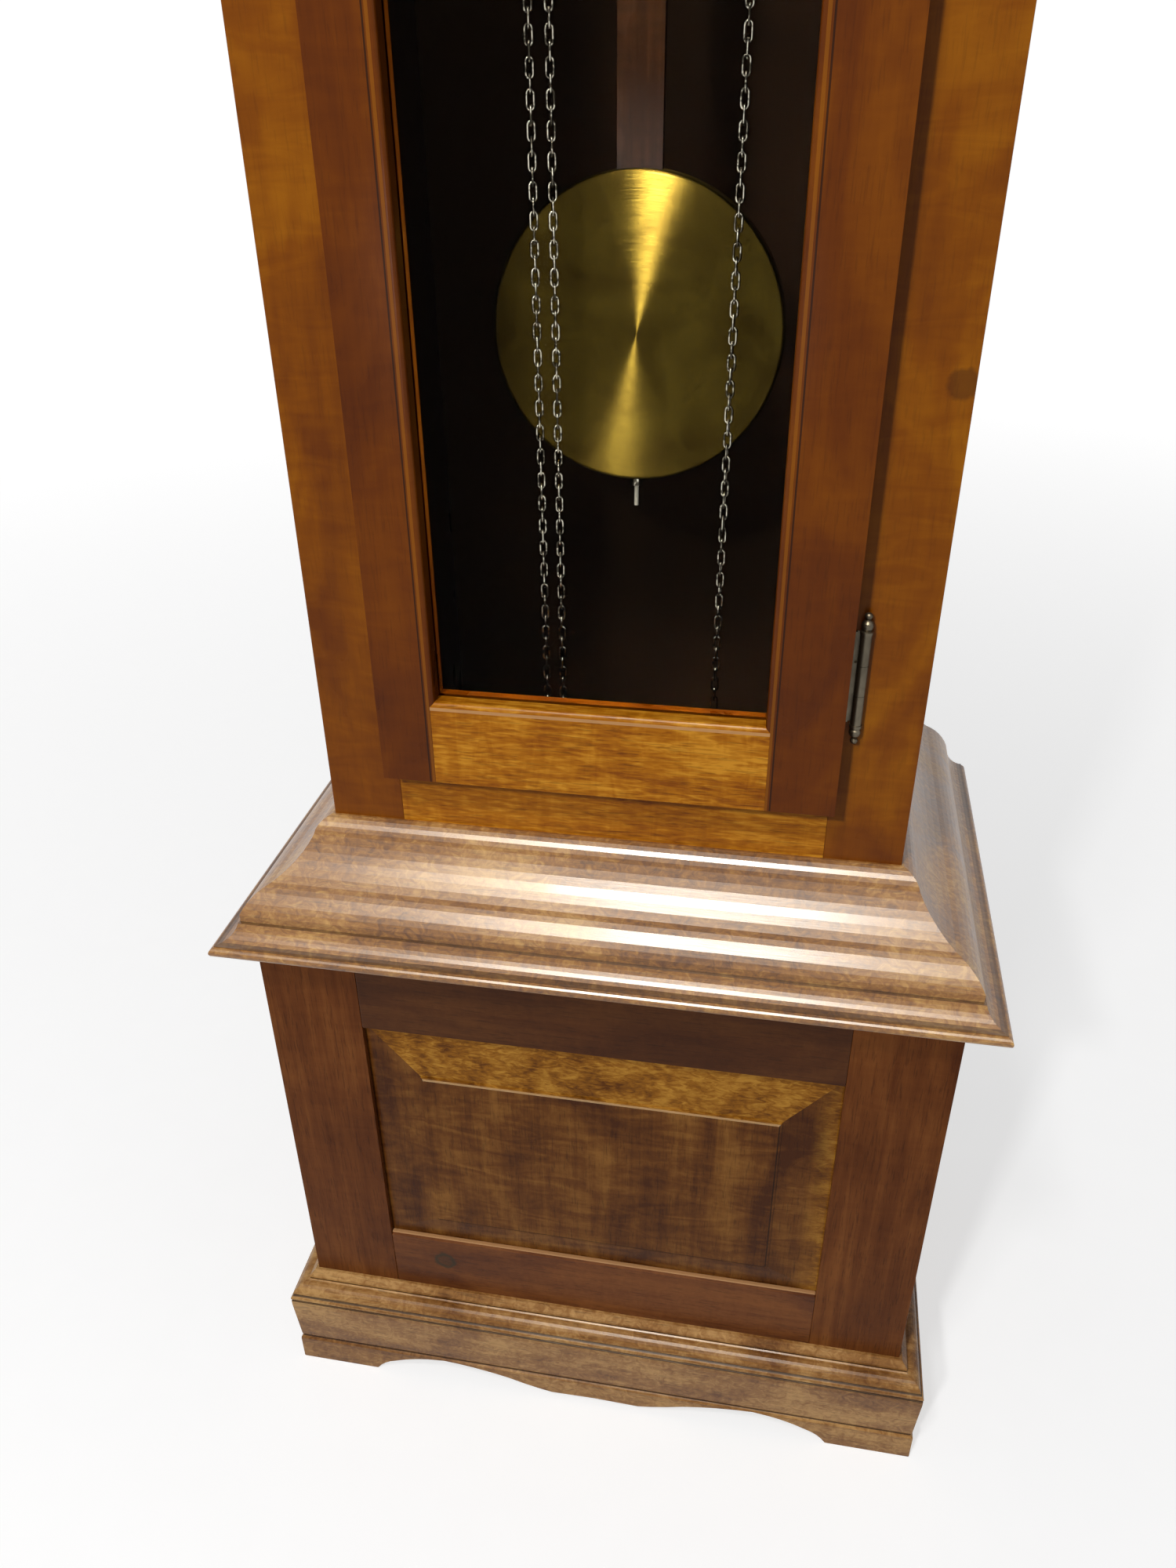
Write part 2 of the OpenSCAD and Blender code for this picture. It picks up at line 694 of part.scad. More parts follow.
minute_at = [-hand_mesh * sin(45), dial_z - hand_mesh * cos(45)];
minute_m = 2 * hand_mesh / (minute_leaves + hour_teeth);

// Plates, with depths counted from the trunk's front
plates = [[plate_y, plate_y + plate_t], [plate_y + plate_t + plate_gap, plate_y + 2 * plate_t + plate_gap]];
inside = [plates[0][1] + 0.5, plates[1][0] - 0.5];
frame_z = [seat_board_z + seat_board_t, dial_z + 80];
frame_x = [-112, 120];
cock_y = [plates[1][1] + 7, plates[1][1] + 11];
module facing(y0, y1) {
    translate([0, front + y1, 0]) rotate([90, 0, 0]) linear_extrude(y1 - y0) children();
}
module rod(at, y0, y1, r) {
    translate([at.x, front + y1, at.y]) rotate([90, 0, 0]) cylinder(h = y1 - y0, r = r);
}
module movement_frame() {
    pivots = [strike_at, going_at, chime_at, third_at, escape_at];
    color("goldenrod") {
        for (p = plates) difference() {
            box([frame_x[0], front + p[0], frame_z[0]], [frame_x[1], front + p[1], frame_z[1]]);
            for (a = pivots) rod(a, p[0] - 1, p[1] + 1, pivot_r + run);
            rod(centre_at, p[0] - 1, p[1] + 1, p == plates[0] ? arbor_r + run : pivot_r + run);
            rod(anchor_at, p[0] - 1, p[1] + 1, p == plates[0] ? pivot_r + run : 6);
        }
        for (at = [[wheel_x[0], frame_z[0] + 8], [wheel_x[2], frame_z[0] + 8],
                [frame_x[0] + 8, frame_z[1] - 8], [frame_x[1] - 8, frame_z[1] - 8]])
            rod(at, plates[0][1], plates[1][0], 4);
        rod(minute_at, 12, plates[0][0], 2);
        back_cock();
        for (x = hammer_x) difference() {
            box([x, front + plates[1][1], hammer_z - 8], [x + 3, front + hammer_y + 5, hammer_z + 8]);
            translate([x - 1, front + hammer_y, hammer_z]) rotate([0, 90, 0])
                cylinder(h = 5, r = pivot_r + run);
        }
    }
}
// Cock behind the back plate: it carries the anchor's pivot, and the pendulum hangs in its slit
module back_cock() {
    z = anchor_at.y;
    difference() {
        union() {
            both_sides() box([12, front + plates[1][1], z - 8], [20, front + cock_y[1], z + 8]);
            box([-20, front + cock_y[0], z - 8], [20, front + cock_y[1], z + 8]);
            box([-7, front + cock_y[1], z - 4], [7, front + pend_y + 6, z + 4]);
        }
        rod(anchor_at, cock_y[0] - 1, cock_y[1] + 0.1, pivot_r + run);
        box([-0.5, front + pend_y - 4.5, z - 9], [0.5, front + pend_y + 7, z + 9]);
    }
}

// Wheels and pinions. A tooth is drawn by its root and tip, with widths as shares of the pitch.
function teeth(n, m, at, turn, thin = 0) = let (r = n * m / 2)
    [for (i = [0:n - 1], k = [[-1.1, -0.24], [0.65, -0.08], [0.65, 0.08], [-1.1, 0.24]])
        let (a = turn + (i + k.y * (1 - thin)) * 360 / n) at + (r + k.x * m) * [cos(a), sin(a)]];
module toothed(n, m, at, turn, y0, y1, thin = 0) { facing(y0, y1) polygon(teeth(n, m, at, turn, thin)); }
// Train wheel: a toothed rim on spokes
module spoked(n, m, at, turn, y0, y1) {
    rim = n * m / 2 - 4 * m;
    facing(y0, y1) difference() {
        polygon(teeth(n, m, at, turn));
        difference() {
            translate(at) circle(r = rim);
            translate(at) circle(r = arbor_r + 3);
            translate(at) for (a = [0:45:135]) rotate(turn + a) square([3, 2 * rim + 2], center = true);
        }
    }
}
module arbor(at) {
    rod(at, plates[0][0], plates[1][1], pivot_r);
    rod(at, inside[0], inside[1], arbor_r);
}

// Depths of the wheels between the plates, each a span from its front to its back
great_y = [[chain_y + 8, chain_y + 10.5], [chain_y - 10, chain_y - 7.5], [chain_y - 10, chain_y - 7.5]];
centre_y = [plates[0][1] + 7, plates[0][1] + 9];
third_y = [centre_y[1] + 8, centre_y[1] + 9.5];
escape_y = [plates[1][0] - 9, plates[1][0] - 7.5];
pinion_over = 2;
drum_r = wheel_r - link_w / 2 - 0.6;
module chain_wheel(i, at, turn) {
    arbor(at);
    spoked(great_teeth, great_m, at, turn, great_y[i][0], great_y[i][1]);
    rod(at, min(chain_y - 4, great_y[i][0]), max(chain_y + 4, great_y[i][1]), 8);
    rod(at, chain_y - 4, chain_y + 4, drum_r);
    for (s = [-1, 1]) rod(at, chain_y + s * 4 - 0.75, chain_y + s * 4 + 0.75, wheel_r + 3);
}
module strike_wheel() { color("goldenrod") chain_wheel(0, strike_at, 0); }
module going_wheel() { color("goldenrod") chain_wheel(1, going_at, toward(going_at, centre_at)); }
module chime_wheel() { color("goldenrod") chain_wheel(2, chime_at, 0); }

pipe_r = 3.5;
hand_y = [-16, -14.5];
hour_hand_y = [-11, -9.5];
module centre_arbor() {
    y = [great_y[1][0] - pinion_over, great_y[1][1] + pinion_over];
    color("goldenrod") {
        rod(centre_at, plates[1][0] - 1, plates[1][1], pivot_r);
        rod(centre_at, hand_y[0] - 2, inside[1], arbor_r);
        rod(centre_at, hand_y[0] - 0.5, plates[0][0] - 1, pipe_r);
        toothed(leaves, great_m, centre_at, toward(centre_at, going_at) + 180 / leaves, y[0], y[1], 0.2);
        spoked(centre_teeth, centre_m, centre_at, toward(centre_at, third_at), centre_y[0], centre_y[1]);
        toothed(cannon_teeth, hand_m, centre_at, toward(centre_at, minute_at), plates[0][0] - 8,
            plates[0][0] - 4);
    }
}
module third_wheel() {
    color("goldenrod") {
        arbor(third_at);
        toothed(leaves, centre_m, third_at, toward(third_at, centre_at) + 180 / leaves,
            centre_y[0] - pinion_over, centre_y[1] + pinion_over, 0.2);
        spoked(third_teeth, third_m, third_at, toward(third_at, escape_at), third_y[0], third_y[1]);
    }
}
module escape_wheel() {
    n = escape_teeth;
    color("goldenrod") {
        arbor(escape_at);
        toothed(leaves, third_m, escape_at, toward(escape_at, third_at) + 180 / leaves,
            third_y[0] - pinion_over, third_y[1] + pinion_over, 0.2);
        facing(escape_y[0], escape_y[1]) difference() {
            polygon([for (i = [0:n - 1],
                    k = [[escape_r - 4, 0.3], [escape_r, 0], [escape_r, 0.07], [escape_r - 4, 0.7]])
                let (a = -(i + k.y) * 360 / n) escape_at + k.x * [cos(a), sin(a)]]);
            difference() {
                translate(escape_at) circle(r = escape_r - 6.5);
                translate(escape_at) circle(r = arbor_r + 1.5);
                translate(escape_at) for (a = [0, 90]) rotate(a) square([2, 2 * escape_r], center = true);
            }
        }
    }
}
module minute_wheel() {
    y = plates[0][0];
    color("goldenrod") difference() {
        union() {
            toothed(minute_teeth, hand_m, minute_at, toward(minute_at, centre_at) + 180 / minute_teeth,
                y - 7.5, y - 4.5);
            toothed(minute_leaves, minute_m, minute_at, toward(minute_at, centre_at) + 180 / minute_leaves,
                y - 16, y - 7.5);
        }
        rod(minute_at, 0, y, 2 + run);
    }
}
module hour_wheel() {
    y = plates[0][0];
    color("goldenrod") difference() {
        union() {
            toothed(hour_teeth, minute_m, centre_at, toward(centre_at, minute_at), y - 14.5, y - 11.5);
            rod(centre_at, hour_hand_y[0], y - 9.5, 5);
        }
        rod(centre_at, hand_y[0], y, pipe_r + run);
    }
}

// Anchor with its arbor, and the crutch that takes the pendulum between two prongs
module anchor() {
    half = [[0, 5], [6, 4], [16, -4], [20.5, -10.5], [15.8, -15.4], [15.4, -13], [16.5, -10.5],
        [13, -6.5], [5, -4], [0, -4]];
    foot = frame_z[0] + 42;
    y = plates[1][1];
    color("slategray") {
        rod(anchor_at, plates[0][0], cock_y[1] - 0.5, pivot_r);
        rod(anchor_at, inside[0], cock_y[0] - 0.5, arbor_r);
        facing(escape_y[0], escape_y[1])
            for (s = [1, -1]) polygon([for (p = half) anchor_at + [s * p.x, p.y]]);
        box([-2.5, front + y + 2, foot], [2.5, front + y + 4, anchor_at.y + 4]);
        box([-stick_w / 2 - 3, front + y + 2, foot], [stick_w / 2 + 3, front + y + 4, foot + 6]);
        both_sides() box([stick_w / 2 + 0.15, front + y + 2, foot],
            [stick_w / 2 + 3, front + pend_y + stick_t / 2 + 2, foot + 6]);
    }
}

// Strike hammer on its lugs, with the rods that it strikes on the back board
hammer_x = [-72, -31];
hammer_mid = -50;
hammer_arm = 80;
hammer_reach = 28;
hammer_head = 16.7;
hammer_z = frame_z[0] + 15;
rod_r = 1.8;
rod_step = 26;
chime_y = case_d - back_t - 75;
hammer_y = chime_y - rod_r - 1.5 - hammer_head - hammer_reach;
module strike_hammer() {
    translate([0, front + hammer_y, hammer_z]) color("slategray") {
        translate([hammer_x[0] - 1, 0, 0]) rotate([0, 90, 0])
            cylinder(h = hammer_x[1] - hammer_x[0] + 5, r = pivot_r);
        translate([hammer_mid - 5, 0, 0]) rotate([0, 90, 0]) cylinder(h = 10, r = 4);
        box([hammer_mid - 2, -1.5, -hammer_arm - 3], [hammer_mid + 2, 1.5, 0]);
        translate([hammer_mid, 0, -hammer_arm]) rotate([-90, 0, 0]) {
            cylinder(h = hammer_reach + 4, r = 2);
            translate([0, 0, hammer_reach]) cylinder(h = hammer_head, r = 6);
        }
    }
}
module chime_rods() {
    z = frame_z[0] - 55;
    color("silver") for (i = [0:4])
        translate([hammer_mid + i * rod_step, front + chime_y, z - 300 + i * 15])
            cylinder(h = 305 - i * 15, r = rod_r);
    color("dimgray") box([hammer_mid - 18, front + chime_y - 5, z],
        [hammer_mid + 4 * rod_step + 18, front + case_d - back_t, z + 30]);
}

// Dial and hands. The hands stand at eight minutes past ten.
minute_turn = 48;
hour_turn = 304;
module dial_plate() {
    color("ivory") {
        difference() {
            box([-dial_w / 2, front - 6, dial_z - dial_w / 2], [dial_w / 2, front - 4, dial_z + dial_w / 2]);
            rod(centre_at, -7, -3, 6);
        }
        for (x = [-95, 95], z = [frame_z[0] + 15, frame_z[1] - 13]) rod([x, z], -4, plates[0][0], 3);
    }
}
module chapter_ring() {
    color("white") facing(-7.5, -6) difference() {
        translate(centre_at) circle(r = ring_r);
        translate(centre_at) circle(r = ring_r - ring_w);
    }
}
module hand(y, turn, bore, outline) {
    color("black") translate([0, front + y[1], dial_z]) rotate([90, 0, 0]) rotate(-turn)
        linear_extrude(y[1] - y[0]) difference() {
            union() {
                circle(r = bore + 4);
                polygon(concat(outline, [for (i = [len(outline) - 1:-1:0]) [-outline[i].x, outline[i].y]]));
            }
            circle(r = bore);
        }
}
module minute_hand() {
    l = minute_len;
    hand(hand_y, minute_turn, pipe_r, [[3, 0], [2, 0.5 * l], [1.6, 0.62 * l], [5, 0.68 * l], [5.6, 0.71 * l],
        [4.6, 0.75 * l], [1.2, 0.8 * l], [0.3, l]]);
}
module hour_hand() {
    l = hour_len;
    hand(hour_hand_y, hour_turn, 5, [[3.4, 0], [2.4, 0.4 * l], [2, 0.55 * l], [9, 0.64 * l], [11, 0.71 * l],
        [8, 0.78 * l], [2, 0.84 * l], [0.5, l]]);
}

// Pendulum
bob_z = anchor_at.y - pend_len;
stick_z = [bob_z - 72, anchor_at.y - 35];
module suspension_spring() {
    z = anchor_at.y;
    translate([0, front + pend_y, 0]) color("silver") {
        box([-0.2, -4, stick_z[1] + 2], [0.2, 4, z + 5]);
        box([-3.5, -5, z + 4.4], [3.5, 5, z + 13]);
        box([-6, -4, stick_z[1]], [6, 4, stick_z[1] + 10]);
    }
}
module pendulum_stick() {
    color("sienna") translate([0, front + pend_y, 0]) {
        box([-stick_w / 2, -stick_t / 2, stick_z[0]], [stick_w / 2, stick_t / 2, stick_z[1]]);
        translate([0, 0, nut_z - 14]) cylinder(h = stick_z[0] - nut_z + 14, r = 1.3);
    }
}
nut_z = bob_z - bob_r - 5.3;
module pendulum_bob() {
    r = bob_r;
    t = bob_t / 2;
    side = concat([[0, t - 1], [r - 14, t - 0.4], [r - 10, t - 0.4], [r - 9.5, t], [r - 5, t]],
        arc([r - 5, t], [r, t - 5], 1.4, 5), [[r, t - 5]]);
    color("gold") translate([0, front + pend_y, bob_z]) difference() {
        rotate([90, 0, 0]) rotate_extrude($fn = 96)
            polygon(concat([for (i = [len(side) - 1:-1:0]) [side[i].x, -side[i].y]], side));
        box([-stick_w / 2 - 0.2, -stick_t / 2 - 0.2, stick_z[0] - bob_z - 1],
            [stick_w / 2 + 0.2, t + 1, r]);
        translate([0, 0, -r - 1]) cylinder(h = r, r = 1.6);
    }
}
module rating_nut() {
    color("gold") translate([0, front + pend_y, nut_z]) difference() {
        cylinder(h = 5, r = 4.7);
        translate([0, 0, -1]) cylinder(h = 7, r = 1.3 + run);
    }
}

// Chains. A link is a ring of wire with straight sides, and every other one is turned a quarter.
link_in = pitch + link_play;
module link_ring(out) {
    union() {
        square([link_w - 2 * wire + 2 * out, link_in - link_w + 2 * wire], center = true);
        for (s = [-1, 1]) translate([0, s * (link_in - link_w + 2 * wire) / 2])
            circle(r = link_w / 2 - wire + out, $fn = 16);
    }
}
module link(odd) {
    rotate([90, 0, odd ? 90 : 0]) translate([0, 0, -wire / 2]) linear_extrude(wire) difference() {
        link_ring(wire);
        link_ring(0);
    }
}
module hanging(x, first, count) {
    for (k = [0:count - 1]) translate([x, front + chain_y, great_z - (k + 0.5) * pitch])
        link((first + k) % 2 == 1);
}
wrap = wheel_links / 2;
module chains() {
    color("goldenrod") for (i = [0:2]) {
        way = free_x[i] > wheel_x[i] ? 1 : -1;
        hanging(free_x[i], 1, free_links[i]);
        translate([wheel_x[i], front + chain_y, great_z]) for (k = [0:wrap - 1])
            rotate([0, -way * (k + 0.5) * 180 / wrap, 0]) translate([way * wheel_r * cos(90 / wrap), 0, 0])
                link(k % 2 == 1);
    }
}
module load_chain(i) { color("goldenrod") hanging(load_x[i], 0, load_links); }
module strike_chain() { load_chain(0); }
module going_chain() { load_chain(1); }
module chime_chain() { load_chain(2); }

// Weights: a brass shell with turned caps and an eye that hangs in the chain's last link
hook_z = great_z - load_links * pitch + (pitch - link_in) / 2 + wire / 2 + 0.1;
module weight(i) {
    eye = 3.4;
    top = hook_z - 2 * eye - 12;
    r = weight_r;
    color("gold") translate([load_x[i], front + chain_y, 0]) {
        translate([0, 0, hook_z - eye]) rotate([90, 0, (load_links - 1) % 2 == 1 ? 0 : 90])
            rotate_extrude() translate([eye, 0]) circle(r = wire / 2, $fn = 16);
        translate([0, 0, top - weight_len]) rotate_extrude() polygon(concat([[0, -6], [4, -6]],
            arc([4, -6], [4, 0], -2, 4), [[4, 0], [r - 2, 0], [r, 2], [r, 8], [r - 1, 9],
            [r - 1, weight_len - 9], [r, weight_len - 8], [r, weight_len - 2], [r - 2, weight_len]],
            arc([r - 8, weight_len], [3, weight_len + 5], -1.5, 4), [[3, weight_len + 5],
            [1.5, weight_len + 7], [1.5, weight_len + 12.3], [0, weight_len + 12.3]]));
    }
}
module strike_weight() { weight(0); }
module going_weight() { weight(1); }
module chime_weight() { weight(2); }

plinth_boards();
plinth_mouldings();
glue_blocks();
base_stiles();
base_rails();
base_panel();
base_sides();
base_floor();
back_boards();
waist_mouldings();
trunk_stiles();
trunk_rails();
trunk_sides();
neck_mouldings();
hood_sole();
hood_sides();
hood_frame();
hood_top();
hood_cornice();
seat_board();
door_catches();
case_leaves();
hinge_pins();
trunk_door_stiles();
trunk_door_rails();
trunk_door_glass();
trunk_door_beads();
trunk_door_leaves();
trunk_door_knob();
hood_door_frame();
hood_door_glass();
hood_door_leaves();
hood_door_knob();
dial_plate();
chapter_ring();
minute_hand();
hour_hand();
movement_frame();
centre_arbor();
minute_wheel();
hour_wheel();
going_wheel();
third_wheel();
escape_wheel();
anchor();
strike_wheel();
chime_wheel();
suspension_spring();
pendulum_stick();
pendulum_bob();
rating_nut();
chains();
strike_chain();
going_chain();
chime_chain();
strike_weight();
going_weight();
chime_weight();
strike_hammer();
chime_rods();
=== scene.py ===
import math
from collections import namedtuple

import bpy
from mathutils import Matrix, Vector


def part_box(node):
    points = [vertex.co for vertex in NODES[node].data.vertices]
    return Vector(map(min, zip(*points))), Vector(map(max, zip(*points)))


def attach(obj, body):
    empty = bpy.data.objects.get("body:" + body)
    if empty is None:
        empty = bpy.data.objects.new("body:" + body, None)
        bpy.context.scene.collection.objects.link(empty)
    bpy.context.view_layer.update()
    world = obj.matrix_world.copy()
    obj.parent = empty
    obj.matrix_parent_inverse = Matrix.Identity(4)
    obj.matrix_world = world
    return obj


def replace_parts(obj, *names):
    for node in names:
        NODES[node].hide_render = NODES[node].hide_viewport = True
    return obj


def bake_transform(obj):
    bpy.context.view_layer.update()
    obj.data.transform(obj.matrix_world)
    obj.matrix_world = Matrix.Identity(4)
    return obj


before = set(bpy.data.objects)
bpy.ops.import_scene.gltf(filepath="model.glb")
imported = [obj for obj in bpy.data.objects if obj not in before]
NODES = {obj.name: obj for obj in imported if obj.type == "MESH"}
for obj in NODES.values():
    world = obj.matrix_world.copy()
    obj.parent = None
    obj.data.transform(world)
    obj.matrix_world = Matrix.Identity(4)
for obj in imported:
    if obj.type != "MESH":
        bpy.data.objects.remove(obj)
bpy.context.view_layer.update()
MM = 0.001
scene = bpy.context.scene


# Sizes in millimetres, taken from the CAD nodes that a piece or a mark has to fit
def span(node, axis):
    """Lowest and highest place of a CAD node along an axis."""
    k = "xyz".index(axis)
    return tuple(round(corner[k] / MM, 2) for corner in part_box(node))


FRONT, FRAME_BACK = span("trunk_stiles", "y")
BOARDS_BACK = span("back_boards", "y")[1]
WAIST_FOOT = span("waist_mouldings", "z")[0]
PLINTH_TOP = span("plinth_boards", "z")[1]
PLINTH_GROOVE = 27.5
SIDE_T = 18

# Base panel: a flat field inside its bevels, and a tongue that sits in the frame's groove
TONGUE = 7
BEVEL_SIDE = 40
BEVEL_TOP = 46
BEVEL_FOOT = 23
FIELD_HALF = span("base_panel", "x")[1] - TONGUE - BEVEL_SIDE
FIELD_TOP = span("base_panel", "z")[1] - TONGUE - BEVEL_TOP
FIELD_FOOT = span("base_panel", "z")[0] + TONGUE + BEVEL_FOOT
BASE_FRAME_TOP = FIELD_TOP + BEVEL_TOP
BASE_FRAME_FOOT = FIELD_FOOT - BEVEL_FOOT

# Trunk door: the edges of its stiles beside the glass, and the top edge of its bottom rail
SIGHT_LEFT, SIGHT_RIGHT = span("trunk_door_rails", "x")
DOOR_FOOT, DOOR_TOP = span("trunk_door_stiles", "z")
DOOR_RAIL_TOP = DOOR_FOOT + 53.5

# Pendulum and dial
PEND_Y = sum(span("pendulum_bob", "y")) / 2
BOB_R = span("pendulum_bob", "x")[1]
BOB_Z = span("pendulum_bob", "z")[0] + BOB_R
BOB_HALF = span("pendulum_bob", "y")[1] - PEND_Y
DIAL_Z = sum(span("dial_plate", "z")) / 2
DIAL_FACE = span("dial_plate", "y")[0]
RING_FACE = span("chapter_ring", "y")[0]

# Chains: each runs up from its free end, over its wheel and down to its weight. The way is 1 where the
# wheel lies to the left of the free run and -1 where it lies to the right. The turn and sway twist the
# hanging links a little, in degrees.
CHAIN_Y = sum(span("chains", "y")) / 2
PITCH = 7.26
WIRE_R = 0.75
LINK_W = 5.4
LINK_IN = PITCH + 0.6
WHEEL_LINKS = 20
WHEEL_R = WHEEL_LINKS * PITCH / (2 * math.pi)
LOAD_LINKS = 38
END_LINK = 1.1
Chain = namedtuple("Chain", "name free_x way free_links turn sway")
CHAINS = (
    Chain("strike", -53.0, 1, 162, 16, 7),
    Chain("going", -42.0, -1, 160, 9, 9),
    Chain("chime", 60.0, -1, 156, 2, 9),
)


def wheel_x(chain):
    return chain.free_x - chain.way * WHEEL_R


# Height of the great wheels, from how far the going wheel's axis lies from the hands' axis
GOING_CENTRES = 31.2
GREAT_Z = DIAL_Z - math.sqrt(GOING_CENTRES ** 2 - wheel_x(CHAINS[1]) ** 2)


# Materials
class Nodes:
    """The node tree of a material or world, with short calls that add nodes and links."""

    def __init__(self, owner, shader="Principled BSDF"):
        owner.use_nodes = True
        self.owner = owner
        self.tree = owner.node_tree
        self.shader = self.tree.nodes[shader]

    def put(self, socket, value):
        """Gives a socket another node's output, a number, a vector or a colour."""
        if isinstance(value, bpy.types.NodeSocket):
            self.tree.links.new(value, socket)
        elif socket.type == "RGBA":
            socket.default_value = (*value, 1)
        else:
            socket.default_value = value

    def add(self, kind, inputs=(), **props):
        node = self.tree.nodes.new("ShaderNode" + kind)
        for key, value in props.items():
            setattr(node, key, value)
        for key, value in dict(inputs).items():
            self.put(node.inputs[key], value)
        return node

    def set(self, **inputs):
        """Sets the shader's own sockets and returns the material or world."""
        for key, value in inputs.items():
            self.put(self.shader.inputs[key.replace("_", " ")], value)
        return self.owner

    def surface(self, shader):
        self.tree.links.new(shader.outputs[0], self.tree.nodes["Material Output"].inputs["Surface"])
        return self.owner

    def at(self):
        """The place on the object, in metres."""
        return self.add("TexCoord").outputs["Object"]

    def place(self):
        """The same place, as its width, depth and height."""
        return self.add("SeparateXYZ", {0: self.at()}).outputs

    def scaled(self, scale):
        return self.add("Mapping", {"Vector": self.at(), "Scale": scale}).outputs[0]

    def noise(self, vector, scale=1.0, detail=3.0, rough=0.5, distortion=0.0):
        return self.add("TexNoise", {"Vector": vector, "Scale": scale, "Detail": detail, "Roughness": rough,
                                     "Distortion": distortion}).outputs["Fac"]

    def ramp(self, fac, *stops):
        node = self.add("ValToRGB", {"Fac": fac})
        elements = node.color_ramp.elements
        while len(elements) < len(stops):
            elements.new(0.5)
        for element, (place, colour) in zip(elements, stops):
            element.position = place
            element.color = (*colour, 1)
        return node.outputs["Color"]

    def mix(self, a, b, fac, mode="MIX"):
        node = self.add("Mix", data_type="RGBA", blend_type=mode)
        factor, first, second = (node.inputs[k] for k in (0, 6, 7))
        for socket, value in ((factor, fac), (first, a), (second, b)):
            self.put(socket, value)
        return node.outputs[2]

    def math(self, op, a, b=0.0, c=0.0):
        return self.add("Math", {0: a, 1: b, 2: c}, operation=op).outputs[0]

    def times(self, a, b):
        return self.math("MULTIPLY", a, b)

    def remap(self, value, low, high, to_low=0.0, to_high=1.0):
        """The value carried from one range to another, and held within it."""
        return self.add("MapRange", {"Value": value, "From Min": low, "From Max": high, "To Min": to_low,
                                     "To Max": to_high}).outputs[0]

    def near(self, value, places, half):
        """1 where a value in metres lies within half a width of a place, both in millimetres, else 0."""
        found = 0.0
        for place in places:
            found = self.math("ADD", self.math("COMPARE", value, place * MM, half * MM), found)
        return found

    def bump(self, height, distance, strength):
        node = self.add("Bump", {"Height": height, "Distance": distance, "Strength": strength})
        self.put(self.shader.inputs["Normal"], node.outputs[0])

    def seen(self):
        """1 on camera, glossy and transmission rays, which show a surface, and 0 on the other rays."""
        path = self.add("LightPath").outputs
        found = path["Is Camera Ray"]
        for ray in ("Is Glossy Ray", "Is Transmission Ray"):
            found = self.math("MAXIMUM", found, path[ray])
        return found


def material(name):
    return Nodes(bpy.data.materials.new(name))


# Kinds of figure in wood: stretch along and across the grain, then the noise's scale, detail, roughness
# and distortion
FIGURES = {
    "clouds": (0.4, 1.0, 15, 3, 0.5, 1.4),
    "streaks": (0.035, 1.0, 170, 4, 0.6, 0.35),
    "ripple": (1.5, 0.35, 48, 3, 0.55, 1.8),
    "dashes": (0.16, 1.0, 430, 2, 0.55, 0.6),
    "burr": (0.8, 1.0, 150, 4, 0.6, 1.6),
}
PORES = (0.07, 1.0, 950, 2, 0.5, 0.0)


def wood(name, palette, along="z", streaks=0.5, clouds=1.0, ripple=0.3, dashes=0.0, burr=0.0, pores=0.3,
         gloss=0.3, shine=0.12, coat=0.0, coat_rough=0.2, seed=0.0, over=None):
    """Varnished wood with the grain along one axis. The weights say how strongly each kind of figure shows,
    gloss is the varnish's roughness, shine its specular level, and over lays marks on the colour."""
    n = material(name)
    shift = n.add("Mapping", {"Vector": n.at(), "Location": (seed, seed * 0.7, seed * 0.3)}).outputs[0]

    def figure(length, across, *noise):
        scale = [across] * 3
        scale["xyz".index(along)] = length
        return n.noise(n.add("Mapping", {"Vector": shift, "Scale": scale}).outputs[0], *noise)

    weights = {"clouds": clouds, "streaks": streaks, "ripple": ripple, "dashes": dashes, "burr": burr}
    drawn = {kind: figure(*FIGURES[kind]) for kind, weight in weights.items() if weight}
    tone = 0.5 - 0.5 * sum(weights.values())
    for kind, fac in drawn.items():
        tone = n.math("ADD", n.times(fac, weights[kind]), tone)
    deep, mid, light = palette
    base = n.ramp(tone, (0.3, deep), (0.5, mid), (0.7, light))
    pore = figure(*PORES)
    base = n.mix(base, n.ramp(pore, (0.33, (1 - pores,) * 3), (0.43, (1, 1, 1))), 1.0, "MULTIPLY")
    if over:
        base = over(n, base)
    rough = n.remap(drawn["clouds"], 0.3, 0.7, gloss - 0.05, gloss + 0.06)
    n.bump(n.math("ADD", n.times(pore, 0.6), n.noise(shift, 60, 2)), 0.15 * MM, 0.3)
    return n.set(Base_Color=base, Roughness=rough, Specular_IOR_Level=shine, Coat_Weight=coat,
                 Coat_Roughness=coat_rough)


def metal(name, colour, dull, rough, spread, scale, fine=900.0):
    """Metal with an uneven tarnish, rougher where it is dull, and fine polishing marks. A wide spread keeps
    the bright and the dull colour close to each other."""
    n = material(name)
    at = n.scaled((1, 1, 1))
    tarnish = n.noise(at, scale, 4, 0.6, 0.6)
    base = n.ramp(tarnish, (0.5 - spread, dull), (0.5 + spread, colour))
    n.bump(n.noise(at, fine, 2), 0.03 * MM, 0.3)
    return n.set(Base_Color=base, Metallic=1.0, Roughness=n.remap(tarnish, 0.3, 0.7, rough + 0.14, rough))


